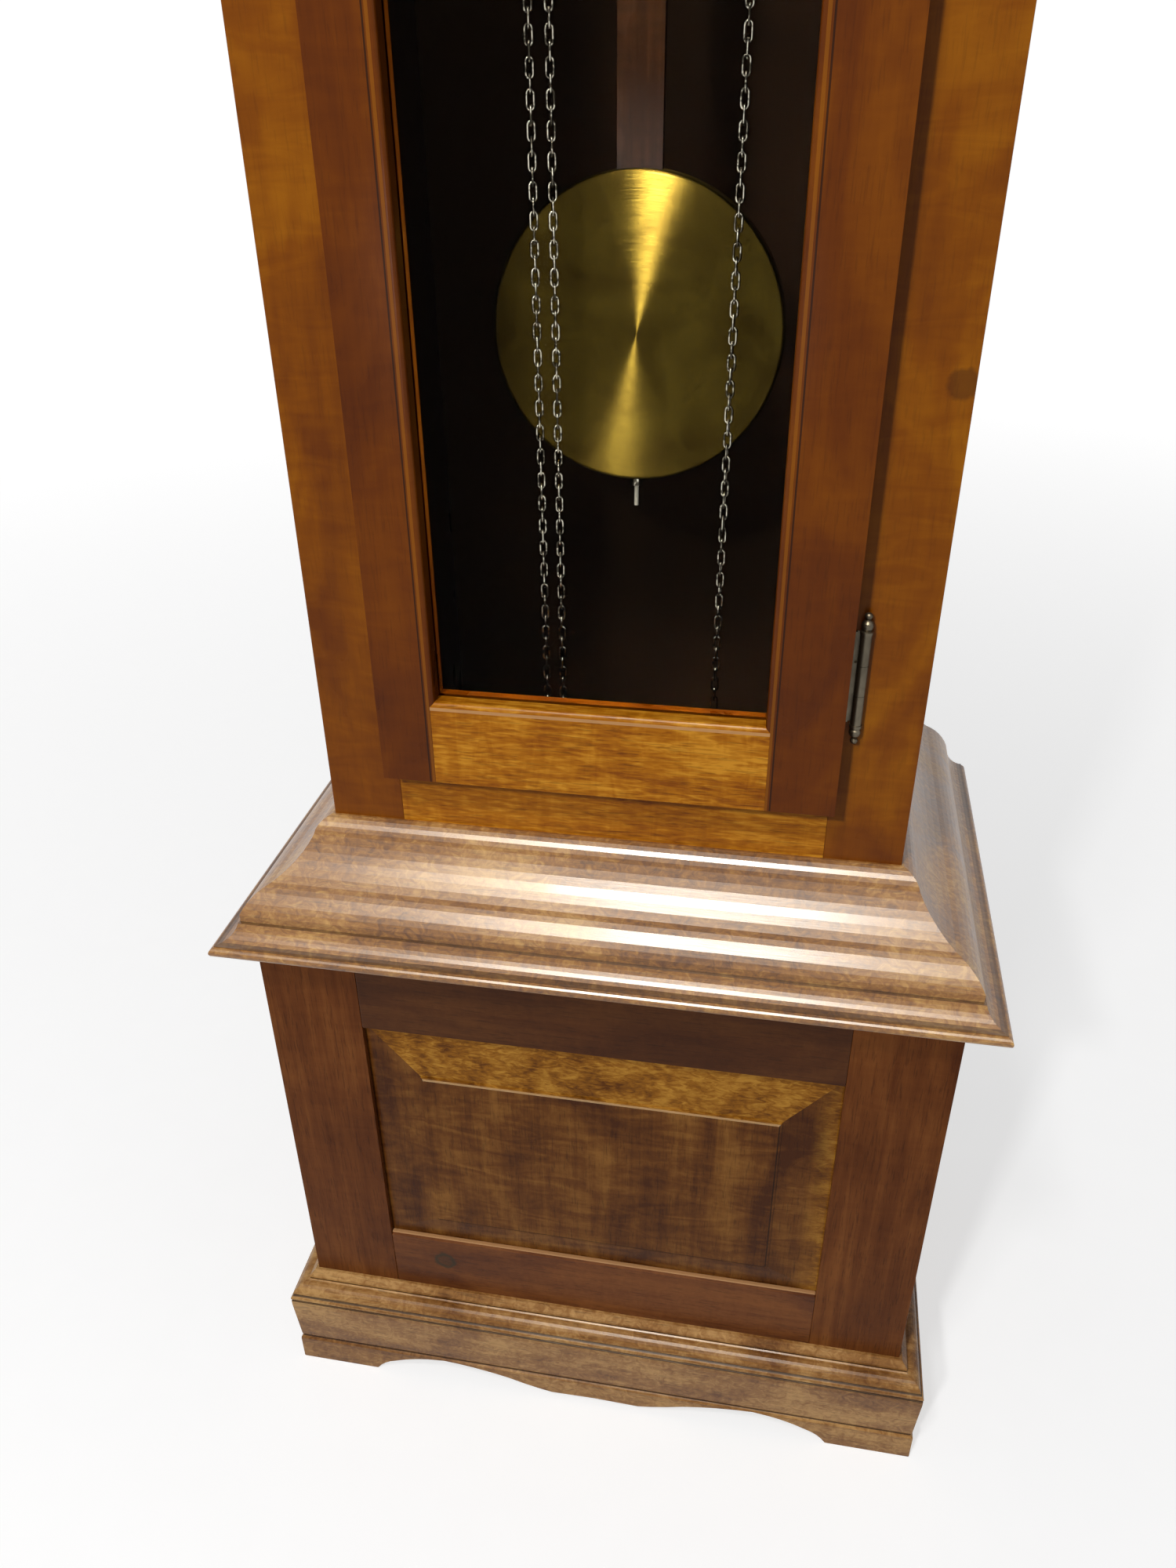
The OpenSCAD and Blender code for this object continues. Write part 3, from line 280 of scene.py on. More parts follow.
def turned_brass(name, colour, dull, centre):
    """Brass with fine rings round an axis along Y, so that the light gathers in a bow tie."""
    n = material(name)
    moved = n.add("VectorMath", {0: n.at(), 1: centre}, operation="SUBTRACT").outputs[0]
    flat = n.add("VectorMath", {0: moved, 1: (1, 0, 1)}, operation="MULTIPLY").outputs[0]
    radius = n.add("VectorMath", {0: flat}, operation="LENGTH").outputs["Value"]
    ringed = n.add("CombineXYZ", {"X": radius}).outputs[0]
    rings = n.noise(ringed, 2600, 2, 0.7)
    bands, cloud = n.noise(ringed, 220, 3, 0.6), n.noise(n.at(), 22, 3, 0.6, 0.8)
    tone = n.math("ADD", n.times(bands, 0.2), n.times(cloud, 0.8))
    tangent = n.add("Tangent", direction_type="RADIAL", axis="Y").outputs[0]
    n.bump(rings, 0.03 * MM, 1.0)
    return n.set(Base_Color=n.ramp(tone, (0.32, dull), (0.62, colour)), Metallic=1.0, Anisotropic=1.0,
                 Anisotropic_Rotation=0.25, Tangent=tangent, Roughness=n.remap(rings, 0.0, 1.0, 0.16, 0.23))


def glass(name):
    """Clear thin glass that lets the light through to the inside."""
    n = material(name)
    rough = n.remap(n.noise(n.scaled((1, 1, 0.4)), 14, 3, 0.6, 1.0), 0.4, 0.8, 0.0, 0.02)
    n.set(Base_Color=(0.97, 0.98, 0.97), Roughness=rough, Transmission_Weight=1.0, IOR=1.05)
    clear = n.add("BsdfTransparent", {"Color": (0.9, 0.91, 0.9)})
    shadow = n.add("LightPath").outputs["Is Shadow Ray"]
    return n.surface(n.add("MixShader", {0: shadow, 1: n.shader.outputs[0], 2: clear.outputs[0]}))


# Colours laid over a wood's own colour: painted shade, painted highlights and the rod's metal
# Painted shade in quirks, at step edges and under the waist moulding
PAINTED_SHADE = (0.012, 0.004, 0.001)
# Near-black painted shade on the faces inside the case
INSIDE_SHADE = (0.010, 0.005, 0.0025)
ROD = (0.24, 0.22, 0.18)
# Painted highlight along rail edges
EDGE_HIGHLIGHT = (0.55, 0.30, 0.13)
# Painted highlight on the panel's arris
ARRIS_HIGHLIGHT = (0.62, 0.42, 0.22)
# Painted highlight on the trunk door's sight edge
SIGHT_HIGHLIGHT = (0.38, 0.13, 0.008)
# Painted sheen on the panel's bevels
BEVEL_SHEEN = ((0.10, 0.030, 0.003), (0.30, 0.115, 0.010), (0.52, 0.25, 0.035))


def layered(*overs):
    def over(n, base):
        for part in overs:
            base = part(n, base)
        return base
    return over


def shade_inside_across(node):
    """The side boards' face towards the inside of the case is painted near-black, as painted shade."""
    inner = span(node, "x")[1] - SIDE_T + 1

    def over(n, base):
        return n.mix(base, INSIDE_SHADE, n.math("LESS_THAN", n.math("ABSOLUTE", n.place()[0]), inner * MM))
    return over


def shade_inside_behind(n, base):
    """The front frame's face towards the inside of the case is painted near-black, as painted shade."""
    return n.mix(base, INSIDE_SHADE, n.math("GREATER_THAN", n.place()[1], (FRAME_BACK - 0.5) * MM))


def shade_inside_back(n, base):
    """The back boards keep their bare colour outside, and their inside face is painted nearly black as
    painted shade.
    """
    return n.mix(base, INSIDE_SHADE, n.math("LESS_THAN", n.place()[1], (BOARDS_BACK - 1) * MM))


def threaded(n, base):
    """The pendulum stick ends in a pale metal rod."""
    return n.mix(base, ROD, n.math("LESS_THAN", n.place()[2], (BOB_Z - 72) * MM))


def painted_waist_shadow(n, base):
    """Painted shadow: the base's top rail is darkened under the waist moulding, where its shadow falls."""
    return n.mix(base, PAINTED_SHADE, n.times(n.math("GREATER_THAN", n.place()[2], (BASE_FRAME_TOP - 2) * MM), 0.55))


def shaded_quirks(*heights, half=0.7, weight=0.8):
    """Painted shade: dark lines in the quirks of a moulding, at these heights."""
    def over(n, base):
        return n.mix(base, PAINTED_SHADE, n.times(n.near(n.place()[2], heights, half), weight))
    return over


def painted_edge_highlight(height, half):
    """Painted highlight: a bright line along an edge at a height, where the edge catches the light."""
    def over(n, base):
        return n.mix(base, EDGE_HIGHLIGHT, n.times(n.near(n.place()[2], (height,), half), 0.75))
    return over


def stained(x, z, radius, hollow, colour, weight):
    """A round stain on the front, paler inside its hollow."""
    def over(n, base):
        here_x, _, here_z = n.place()
        wave = n.times(n.math("SUBTRACT", n.noise(n.scaled((1, 1, 1)), 160, 3), 0.5), 6 * MM)
        dx, dz = n.math("SUBTRACT", here_x, x * MM), n.math("SUBTRACT", here_z, z * MM)
        far = n.math("SQRT", n.math("ADD", n.times(dx, dx), n.times(dz, dz)))
        far = n.math("ADD", far, wave)
        fade = n.remap(far, radius * MM, radius * 0.75 * MM)
        hole = n.remap(far, hollow * MM, (hollow * 1.3 + 0.1) * MM, 0.45)
        return n.mix(base, colour, n.times(n.times(fade, hole), weight))
    return over


def fielded(n, base):
    """Painted light on the panel's bevels: a golden painted sheen above and at the right's outer edge, a
    painted highlight along the arris above the field, and painted shade along the field's right and bottom
    edges."""
    x, _, z = n.place()
    out = n.math("ABSOLUTE", x)
    rise = n.times(n.math("SUBTRACT", z, FIELD_TOP * MM), 1 / (BEVEL_TOP * MM))
    aside = n.times(n.math("SUBTRACT", out, FIELD_HALF * MM), 1 / (BEVEL_SIDE * MM))
    above = n.math("GREATER_THAN", rise, n.math("MAXIMUM", aside, 0.0))
    beside = n.math("GREATER_THAN", aside, n.math("MAXIMUM", rise, 0.0))
    right = n.times(beside, n.math("GREATER_THAN", x, 0.0))
    fleck = n.noise(n.scaled((0.35, 1, 1)), 330, 3, 0.6, 1.2)
    broad = n.noise(n.scaled((1, 1, 1)), 38, 2, 0.5, 0.8)
    tone = n.math("ADD", n.times(fleck, 0.5), n.times(broad, 0.5))
    gold = n.ramp(tone, *zip((0.36, 0.5, 0.62), BEVEL_SHEEN))
    base = n.mix(base, gold, n.times(above, 0.85))
    base = n.mix(base, gold, n.times(right, n.remap(aside, 0.55, 1.0, 0.0, 0.7)))
    across = n.math("LESS_THAN", out, (FIELD_HALF + 0.7) * MM)
    arris = n.times(n.near(z, (FIELD_TOP + 0.2,), 0.5), across)
    base = n.mix(base, ARRIS_HIGHLIGHT, n.times(arris, 0.7))
    under_top = n.math("LESS_THAN", z, FIELD_TOP * MM)
    tall = n.times(under_top, n.math("GREATER_THAN", z, (FIELD_FOOT - 0.3) * MM))
    edge = n.math("MAXIMUM", n.near(x, (FIELD_HALF + 0.3,), 0.6), n.near(z, (FIELD_FOOT + 0.2,), 0.6))
    return n.mix(base, PAINTED_SHADE, n.times(n.times(edge, n.times(across, tall)), 0.6))


def painted_sight_edges(n, base):
    """Painted light on the trunk door's moulded edge beside the glass: a golden painted highlight, and a dark
    painted shadow line at the quirk outside it.
    """
    x, y, z = n.place()
    here = n.times(n.math("LESS_THAN", z, DOOR_TOP * MM), n.math("LESS_THAN", y, (FRONT - 8) * MM))
    gold = n.times(n.near(x, (SIGHT_RIGHT + 0.7, SIGHT_LEFT - 1.1), 0.9), here)
    dark = n.times(n.near(x, (SIGHT_RIGHT + 3.2, SIGHT_LEFT - 3.3), 0.5), here)
    base = n.mix(base, SIGHT_HIGHLIGHT, n.times(gold, 0.35))
    return n.mix(base, PAINTED_SHADE, n.times(dark, 0.8))


# A knot in the trunk's right stile, and a ring stain on the base's bottom rail
KNOT = dict(x=180.6, z=816.3, radius=9.0, hollow=0.0, colour=(0.05, 0.014, 0.002), weight=0.55)
RING_STAIN = dict(x=-124.8, z=131.8, radius=10.0, hollow=5.0, colour=(0.022, 0.022, 0.010), weight=0.75)

# Palettes of the woods: deep, mid and light
STILE = ((0.130, 0.029, 0.0005), (0.205, 0.055, 0.0010), (0.310, 0.103, 0.003))
DOOR = ((0.075, 0.014, 0.0004), (0.122, 0.027, 0.0007), (0.190, 0.050, 0.0015))
GOLD = ((0.230, 0.060, 0.001), (0.400, 0.135, 0.004), (0.600, 0.260, 0.020))
BASE = ((0.085, 0.021, 0.0035), (0.140, 0.041, 0.0085), (0.210, 0.070, 0.016))
BURR = ((0.120, 0.038, 0.004), (0.300, 0.122, 0.018), (0.520, 0.280, 0.070))
PANEL = ((0.062, 0.016, 0.002), (0.135, 0.045, 0.007), (0.240, 0.100, 0.020))
PLINTH = ((0.150, 0.052, 0.009), (0.310, 0.140, 0.036), (0.520, 0.290, 0.100))
STICK = ((0.016, 0.005, 0.0012), (0.032, 0.011, 0.003), (0.060, 0.022, 0.007))
# Near-black painted shade for the boards inside the case
SHADED_PINE = ((0.006, 0.003, 0.0015), (0.013, 0.006, 0.003), (0.026, 0.012, 0.006))
BARE_PINE = ((0.060, 0.026, 0.010), (0.115, 0.055, 0.022), (0.180, 0.095, 0.042))

LOOKS = {
    "trunk_wood": wood(
        "trunk_wood", STILE, streaks=0.12, ripple=0.25, pores=0.12, seed=0.3,
        over=layered(shade_inside_behind, stained(**KNOT))),
    "side_wood": wood(
        "side_wood", STILE, clouds=0.8, ripple=0.1, shine=0.02, seed=1.9,
        over=shade_inside_across("trunk_sides")),
    "hood_side_wood": wood(
        "hood_side_wood", STILE, clouds=0.8, ripple=0.1, shine=0.02, seed=2.9,
        over=shade_inside_across("hood_sides")),
    "trunk_rail_wood": wood(
        "trunk_rail_wood", GOLD, "x", streaks=0.3, clouds=0.7, ripple=0.2, dashes=0.6, seed=2.2,
        over=shade_inside_behind),
    "door_wood": wood(
        "door_wood", DOOR, streaks=0.2, clouds=0.9, ripple=0.15, pores=0.15, seed=4.4, over=painted_sight_edges),
    "door_rail_wood": wood(
        "door_rail_wood", GOLD, "x", streaks=0.3, clouds=0.7, ripple=0.3, dashes=0.7, seed=5.2,
        over=painted_edge_highlight(DOOR_RAIL_TOP - 1.2, 1.1)),
    "waist_wood": wood(
        "waist_wood", BURR, "x", streaks=0.12, clouds=0.6, ripple=0.2, dashes=0.15, burr=0.7, gloss=0.34,
        shine=0.5, coat=0.6, coat_rough=0.45, seed=6.0,
        over=shaded_quirks(WAIST_FOOT + 19.2, WAIST_FOOT + 7.9, half=0.6, weight=0.55)),
    "moulding_wood": wood(
        "moulding_wood", BURR, "x", streaks=0.2, clouds=0.6, ripple=0.2, burr=0.5, gloss=0.34, shine=0.4,
        seed=6.7),
    "base_wood": wood("base_wood", BASE, clouds=0.8, ripple=0.15, shine=0.06, seed=7.3),
    "base_side_wood": wood(
        "base_side_wood", BASE, clouds=0.8, ripple=0.15, shine=0.06, seed=7.9,
        over=shade_inside_across("base_sides")),
    "base_rail_wood": wood(
        "base_rail_wood", BASE, "x", streaks=0.4, clouds=0.9, ripple=0.15, burr=0.25, shine=0.1, seed=8.1,
        over=layered(stained(**RING_STAIN), painted_edge_highlight(BASE_FRAME_FOOT + 0.2, 0.8), painted_waist_shadow)),
    "panel_wood": wood(
        "panel_wood", PANEL, streaks=0.35, ripple=0.5, burr=0.2, shine=0.08, seed=9.7, over=fielded),
    "plinth_wood": wood(
        "plinth_wood", PLINTH, "x", streaks=0.35, clouds=0.8, ripple=0.2, burr=0.6, shine=0.2, seed=10.4,
        over=shaded_quirks(PLINTH_TOP, PLINTH_TOP + 5.4, PLINTH_TOP + 15, PLINTH_GROOVE)),
    "stick_wood": wood("stick_wood", STICK, streaks=0.7, shine=0.05, seed=1.1, over=threaded),
    "inner_wood": wood("inner_wood", SHADED_PINE, streaks=0.8, gloss=0.7, shine=0.02, seed=3.1),
    "back_wood": wood(
        "back_wood", BARE_PINE, streaks=0.9, clouds=0.6, ripple=0.1, gloss=0.7, shine=0.0, seed=12.0,
        over=shade_inside_back),
    "top_wood": wood(
        "top_wood", BARE_PINE, "x", streaks=0.9, clouds=0.6, ripple=0.1, gloss=0.6, shine=0.1, seed=13.0),
    "glass": glass("clear_glass"),
    "bronze": metal(
        "aged_bronze", (0.17, 0.145, 0.105), (0.050, 0.042, 0.030), rough=0.3, spread=0.3, scale=40.0,
        fine=500.0),
    "brass": metal("brass", (0.62, 0.42, 0.16), (0.42, 0.27, 0.09), rough=0.24, spread=0.4, scale=45.0),
    "chain_brass": metal(
        "chain_brass", (0.62, 0.57, 0.47), (0.06, 0.05, 0.035), rough=0.08, spread=0.06, scale=300.0),
    "steel": metal("steel", (0.36, 0.36, 0.35), (0.20, 0.19, 0.18), rough=0.34, spread=0.3, scale=90.0),
    "blued": metal(
        "blued_steel", (0.035, 0.045, 0.085), (0.015, 0.018, 0.03), rough=0.28, spread=0.3, scale=80.0),
    "silvered": metal("silvered", (0.66, 0.66, 0.62), (0.50, 0.49, 0.45), rough=0.45, spread=0.3, scale=30.0),
    "dial_brass": metal(
        "matt_brass", (0.50, 0.34, 0.13), (0.34, 0.22, 0.08), rough=0.5, spread=0.35, scale=500.0,
        fine=2400.0),
    "bob_brass": turned_brass(
        "bob_brass", (0.068, 0.044, 0.006), (0.028, 0.016, 0.0025), (0, PEND_Y * MM, BOB_Z * MM)),
}

# The look that each CAD node wears
WEARS = {
    "plinth_wood": "plinth_boards plinth_mouldings",
    "waist_wood": "waist_mouldings",
    "moulding_wood": "neck_mouldings hood_sole hood_cornice",
    "base_wood": "base_stiles",
    "base_side_wood": "base_sides",
    "base_rail_wood": "base_rails",
    "panel_wood": "base_panel",
    "trunk_wood": "trunk_stiles hood_frame",
    "side_wood": "trunk_sides",
    "hood_side_wood": "hood_sides",
    "trunk_rail_wood": "trunk_rails",
    "top_wood": "hood_top",
    "back_wood": "back_boards",
    "door_wood": "trunk_door_stiles trunk_door_beads hood_door_frame",
    "door_rail_wood": "trunk_door_rails",
    "inner_wood": "seat_board base_floor glue_blocks",
    "stick_wood": "pendulum_stick",
    "glass": "trunk_door_glass hood_door_glass",
    "bronze": "case_leaves hinge_pins trunk_door_leaves hood_door_leaves",
    "brass": "trunk_door_knob hood_door_knob movement_frame centre_arbor minute_wheel hour_wheel going_wheel "
             "third_wheel escape_wheel strike_wheel chime_wheel strike_weight going_weight chime_weight",
    "chain_brass": "rating_nut chains strike_chain going_chain chime_chain",
    "bob_brass": "pendulum_bob",
    "steel": "anchor suspension_spring strike_hammer chime_rods door_catches",
    "silvered": "chapter_ring",
    "dial_brass": "dial_plate",
    "blued": "minute_hand hour_hand",
}
SOFT_EDGES = ("plinth_boards base_stiles base_rails base_sides trunk_stiles trunk_rails hood_frame "
              "trunk_door_stiles trunk_door_rails hood_door_frame hood_top").split()
EDGE_R = 0.8


def soften(obj):
    """Rounds the worn edges of a wooden piece."""
    weld = obj.modifiers.new("weld", "WELD")
    weld.merge_threshold = 0.01 * MM
    bevel = obj.modifiers.new("edge", "BEVEL")
    bevel.width = EDGE_R * MM
    bevel.segments = 2
    bevel.limit_method = "ANGLE"
    bevel.angle_limit = math.radians(50)
    bevel.use_clamp_overlap = True


for look, names in WEARS.items():
    for name in names.split():
        materials = NODES[name].data.materials
        materials.clear()
        materials.append(LOOKS[look])
        if name in SOFT_EDGES:
            soften(NODES[name])


# Pieces
ACROSS = Vector((1, 0, 0))
TO_FRONT = Vector((0, -1, 0))
UP = Vector((0, 0, 1))


class Shape:
    """A piece in the making: its vertices in millimetres, and its faces."""

    def __init__(self):
        self.verts = []
        self.faces = []

    def turned(self, centre, axis, across, profile, segments):
        """Surface turned about an axis, from pairs of radius and height along it. A radius of 0 is a pole."""
        side = axis.cross(across)
        rings = []
        for radius, height in profile:
            rings.append(range(len(self.verts), len(self.verts) + (segments if radius else 1)))
            for k in range(len(rings[-1])):
                a = 2 * math.pi * k / segments
                out = across * math.cos(a) + side * math.sin(a)
                self.verts.append(centre + axis * height + out * radius)
        for low, high in zip(rings, rings[1:]):
            for k in range(segments):
                m = (k + 1) % segments
                quad = [low[k % len(low)], low[m % len(low)], high[m % len(high)], high[k % len(high)]]
                self.faces.append(tuple(dict.fromkeys(quad)))

    def plate(self, foot, top, closed=True):
        """Plate between two outlines with as many points, open below unless it is closed."""
        start, count = len(self.verts), len(foot)
        self.verts += foot + top
        self.faces.append(tuple(range(start + count, start + 2 * count)))
        if closed:
            self.faces.append(tuple(range(start + count - 1, start - 1, -1)))
        for k in range(count):
            m = (k + 1) % count
            self.faces.append((start + k, start + m, start + count + m, start + count + k))

    def piece(self, name, look, body=None, smooth=True):
        """The finished piece, which rides on a body when one is given."""
        mesh = bpy.data.meshes.new(name)
        mesh.from_pydata([tuple(c * MM for c in v) for v in self.verts], [], self.faces)
        mesh.polygons.foreach_set("use_smooth", [smooth] * len(mesh.polygons))
        mesh.update()
        mesh.materials.append(LOOKS[look])
        obj = bpy.data.objects.new(name, mesh)
        scene.collection.objects.link(obj)
        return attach(obj, body) if body else obj


# Chains of round wire
def link_path(size):
    """Middle line of a link's wire, in its own plane."""
    half = (LINK_W / 2 - WIRE_R) * size
    straight = (LINK_IN / 2 + WIRE_R) * size - half
    points = []
    for side in (1, -1):
        for k in range(8):
            a = math.pi * k / 7
            points.append((side * half * math.cos(a), side * (straight + half * math.sin(a))))
    return points


def add_link(shape, centre, along, across, size=1.0):
    """A link at a point, with its length along one direction and its width across it."""
    path = link_path(size)
    normal = along.cross(across)
    start, count, sides = len(shape.verts), len(path), 6
    for i, (u, v) in enumerate(path):
        before, after = path[i - 1], path[(i + 1) % count]
        way = (across * (after[0] - before[0]) + along * (after[1] - before[1])).normalized()
        out = way.cross(normal)
        point = centre + across * u + along * v
        for k in range(sides):
            a = 2 * math.pi * k / sides
            shape.verts.append(point + (out * math.cos(a) + normal * math.sin(a)) * WIRE_R)
    for i in range(count):
        here, there = start + i * sides, start + (i + 1) % count * sides
        for k in range(sides):
            m = (k + 1) % sides
            shape.faces.append((here + k, there + k, there + m, here + m))


def hang(shape, x, first, count, turn=0.0, sway=0.0, end_size=1.0):
    """Links that hang straight down, every other one turned a quarter, with a slow twist about a turn."""
    for k in range(count):
        a = math.radians(turn + sway * math.sin(0.055 * k + x)) + (first + k) % 2 * math.pi / 2
        centre = Vector((x, CHAIN_Y, GREAT_Z - (k + 0.5) * PITCH))
        size = end_size if k == count - 1 else 1.0
        add_link(shape, centre, -UP, Vector((math.cos(a), math.sin(a), 0)), size)


def wrap(shape, chain):
    """Links over the top half of a chain's wheel. Each lies along a chord of the wheel's circle."""
    hub = Vector((wheel_x(chain), CHAIN_Y, GREAT_Z))
    step = 2 * math.pi / WHEEL_LINKS
    chord_r = WHEEL_R * math.cos(step / 2)
    for k in range(WHEEL_LINKS // 2):
        a = step * (k + 0.5)
        out = Vector((chain.way * math.cos(a), 0, math.sin(a)))
        along = Vector((-chain.way * math.sin(a), 0, math.cos(a)))
        add_link(shape, hub + out * chord_r, along, -TO_FRONT if k % 2 == 0 else out)


def chain_runs():
    """The chains' free runs and wraps, which stay with the case."""
    shape = Shape()
    for chain in CHAINS:
        hang(shape, chain.free_x, 1, chain.free_links, chain.turn, chain.sway, END_LINK)
        wrap(shape, chain)
    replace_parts(shape.piece("chain_runs", "chain_brass", "case"), "chains")


def load_chain(chain):
    """The run between a chain's wheel and its weight, built at a fixed number of links; in the clock it grows
    as the weight goes down.
    """
    x = wheel_x(chain) - chain.way * WHEEL_R
    shape = Shape()
    hang(shape, x, 0, LOAD_LINKS)
    links = shape.piece(chain.name + "_links", "chain_brass")
    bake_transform(links)
    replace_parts(links, chain.name + "_chain")


chain_runs()
for chain in CHAINS:
    load_chain(chain)


# Pendulum
def bob_face():
    """Pressed brass face over the front of the bob: a shallow crown with a rolled edge."""
    rise, crown, crown_r = 0.55, 0.35, 86
    profile = [(r, BOB_HALF + rise - crown * (r / crown_r) ** 2)
               for r in (0, 4, 10, 20, 32, 45, 58, 70, 80, crown_r, 86.9)]
    rolled = ((0.7, 0.1), (0.1, 0.8), (0, 2.1), (0, 4.4))
    profile += [(BOB_R - inset, BOB_HALF - drop) for inset, drop in rolled]
    shape = Shape()
    shape.turned(Vector((0, PEND_Y, BOB_Z)), TO_FRONT, ACROSS, profile[::-1], 128)
    shape.piece("bob_face", "bob_brass", "pendulum")


bob_face()

# Hinge screws: how far in from the hinge's axis their rows lie, and how far back the case's rows lie
BARREL_R = 3.4
BARREL_HALF = 28.75
DOOR_SCREWS_IN = 17
CASE_SCREWS_IN = 10
CASE_SCREWS_BACK = 9.8
SCREW_RISES = (-19.0, 0.0, 19.0)
SCREW_R = 2.7
SLOT_HALF = 0.4
HEAD_RISE = 0.22


def add_screw(shape, centre, out, slot_way):
    """Countersunk wood screw's head with its slot: a low disc with two raised halves."""
    side = out.cross(slot_way)
    head_r = SCREW_R - 0.15
    shape.turned(centre, out, slot_way, [(SCREW_R, -0.05), (SCREW_R, 0.04), (0, 0.04)], 24)
    first = math.asin(SLOT_HALF / head_r)
    turns = [first + (math.pi - 2 * first) * k / 10 for k in range(11)]
    for sign in (1, -1):
        edge = [slot_way * head_r * math.cos(a) + side * sign * head_r * math.sin(a) for a in turns][::sign]
        foot, top = ([centre + point + out * height for point in edge] for height in (0.0, HEAD_RISE))
        shape.plate(foot, top, closed=False)


def hinge_screws(door):
    """Screws in both leaves of a door's hinges. Those in the case's leaves show when the door is open."""
    leaves = door + "_door_leaves"
    axis_x = span(leaves, "x")[1] - BARREL_R
    leaf_y = span(leaves, "y")[1]
    low, high = span(leaves, "z")
    on_door, on_case = Shape(), Shape()
    for middle in (low + BARREL_HALF, high - BARREL_HALF):
        for rise in SCREW_RISES:
            z = middle + rise
            add_screw(on_door, Vector((axis_x - DOOR_SCREWS_IN, leaf_y, z)), -TO_FRONT, UP)
            add_screw(on_case, Vector((axis_x - CASE_SCREWS_IN, leaf_y + CASE_SCREWS_BACK, z)), -ACROSS, UP)
    on_door.piece(door + "_door_screws", "bronze", door + "_door", smooth=False)
    on_case.piece(door + "_case_screws", "bronze", "case", smooth=False)


for door in ("trunk", "hood"):
    hinge_screws(door)


# Dial: minute track, Roman hours and cast corner ornaments
def stroke(ax, az, bx, bz, width):
    """Slanted or upright stroke of a letter, with level ends."""
    return [(ax - width / 2, az), (ax + width / 2, az), (bx + width / 2, bz), (bx - width / 2, bz)]


LETTER_H = 20
SERIF_H = 0.9
SERIF_TOP = LETTER_H - SERIF_H


def serif(x, z, width):
    return stroke(x, z, x, z + SERIF_H, width)


# Each letter's width and its strokes
LETTERS = {
    "I": (6.4, [stroke(0, 0, 0, LETTER_H, 3.0), serif(0, 0, 6), serif(0, SERIF_TOP, 6)]),
    "V": (13.0, [stroke(-4, LETTER_H, 0, 0, 3.2), stroke(4.4, LETTER_H, 0.6, 0, 1.0),
                 serif(-4, SERIF_TOP, 5.6), serif(4.4, SERIF_TOP, 3.6)]),
    "X": (13.0, [stroke(-4, LETTER_H, 4, 0, 3.2), stroke(4, LETTER_H, -4, 0, 1.0),
                 serif(-4, SERIF_TOP, 5.2), serif(4, SERIF_TOP, 3.6), serif(4, 0, 5.2), serif(-4, 0, 3.6)]),
}
HOURS = "XII I II III IIII V VI VII VIII IX X XI".split()
HOUR_FOOT_R = 112.5
TRACK_R = (135.6, 139.4)
TRACK_LINE = 0.4
MARK_HALF = 0.1


def add_mark(shape, outline, turn=0):
    """Thin plate on the chapter ring, from an outline in width and radius that is turned clockwise."""
    c, s = math.cos(math.radians(turn)), math.sin(math.radians(turn))
    outline = [(u * c + v * s, DIAL_Z - u * s + v * c) for u, v in outline]
    if sum(a[0] * b[1] - b[0] * a[1] for a, b in zip(outline, outline[1:] + outline[:1])) < 0:
        outline = outline[::-1]
    back, face = ([Vector((x, RING_FACE + lift, z)) for x, z in outline] for lift in (MARK_HALF, -MARK_HALF))
    shape.plate(back, face)


def dial_marks():
    shape = Shape()
    for hour, letters in enumerate(HOURS):
        at = -sum(LETTERS[letter][0] for letter in letters) / 2
        for letter in letters:
            width, strokes = LETTERS[letter]
            for outline in strokes:
                add_mark(shape, [(u + at + width / 2, v + HOUR_FOOT_R) for u, v in outline], 30 * hour)
            at += width
    for minute in range(60):
        width = 1.6 if minute % 5 == 0 else 0.6
        foot, top = (radius + TRACK_LINE / 2 for radius in TRACK_R)
        add_mark(shape, stroke(0, foot, 0, top, width), 6 * minute)
    for radius in TRACK_R:
        for k in range(120):
            a, b = (math.radians(3 * j) for j in (k, k + 1))
            outer = radius + TRACK_LINE
            add_mark(shape, [(r * math.sin(t), r * math.cos(t)) for r, t in
                             ((radius, a), (radius, b), (outer, b), (outer, a))])
    shape.piece("dial_marks", "blued", "case", smooth=False)


CORNER_IN = 119
# Each leaf of a corner ornament: its turn from the diagonal, length and width
LEAVES = ((0, 27, 9), (38, 24, 8), (-38, 24, 8), (80, 26, 7), (-80, 26, 7))
LEAF_BEND = 3
# Profile of the boss in the middle of its leaves: radius and height
BOSS = [(4.5, 0), (4.2, 1.4), (3.0, 2.6), (1.4, 3.2), (0, 3.4)]


def add_leaf(shape, foot, way, length, width, bend):
    """Pointed leaf with a raised rib, which bends a little to one side."""
    side = Vector((-way.z, 0, way.x))
    start, count = len(shape.verts), 12
    for t in range(count + 1):
        f = t / count
        half = width / 2 * math.sin(math.pi * min(f * 1.02, 1) ** 0.7) + 0.3
        middle = foot + way * length * f + side * bend * math.sin(math.pi * f)
        shape.verts += [middle - side * half, middle + TO_FRONT * (0.4 + half * 0.4), middle + side * half]
    for t in range(count):
        for m in (start + 3 * t, start + 3 * t + 1):
            shape.faces.append((m, m + 3, m + 4, m + 1))


def dial_corners():
    shape = Shape()
    for sx in (1, -1):
        for sz in (1, -1):
            corner = Vector((sx * CORNER_IN, DIAL_FACE, DIAL_Z + sz * CORNER_IN))
            for turn, length, width in LEAVES:
                a = math.radians(45 + turn)
                way = Vector((sx * math.cos(a), 0, sz * math.sin(a)))
                bend = math.copysign(LEAF_BEND, turn) if turn else 0
                add_leaf(shape, corner, way, length, width, bend)
            shape.turned(corner, TO_FRONT, ACROSS, BOSS, 20)
    shape.piece("dial_corners", "brass", "case")


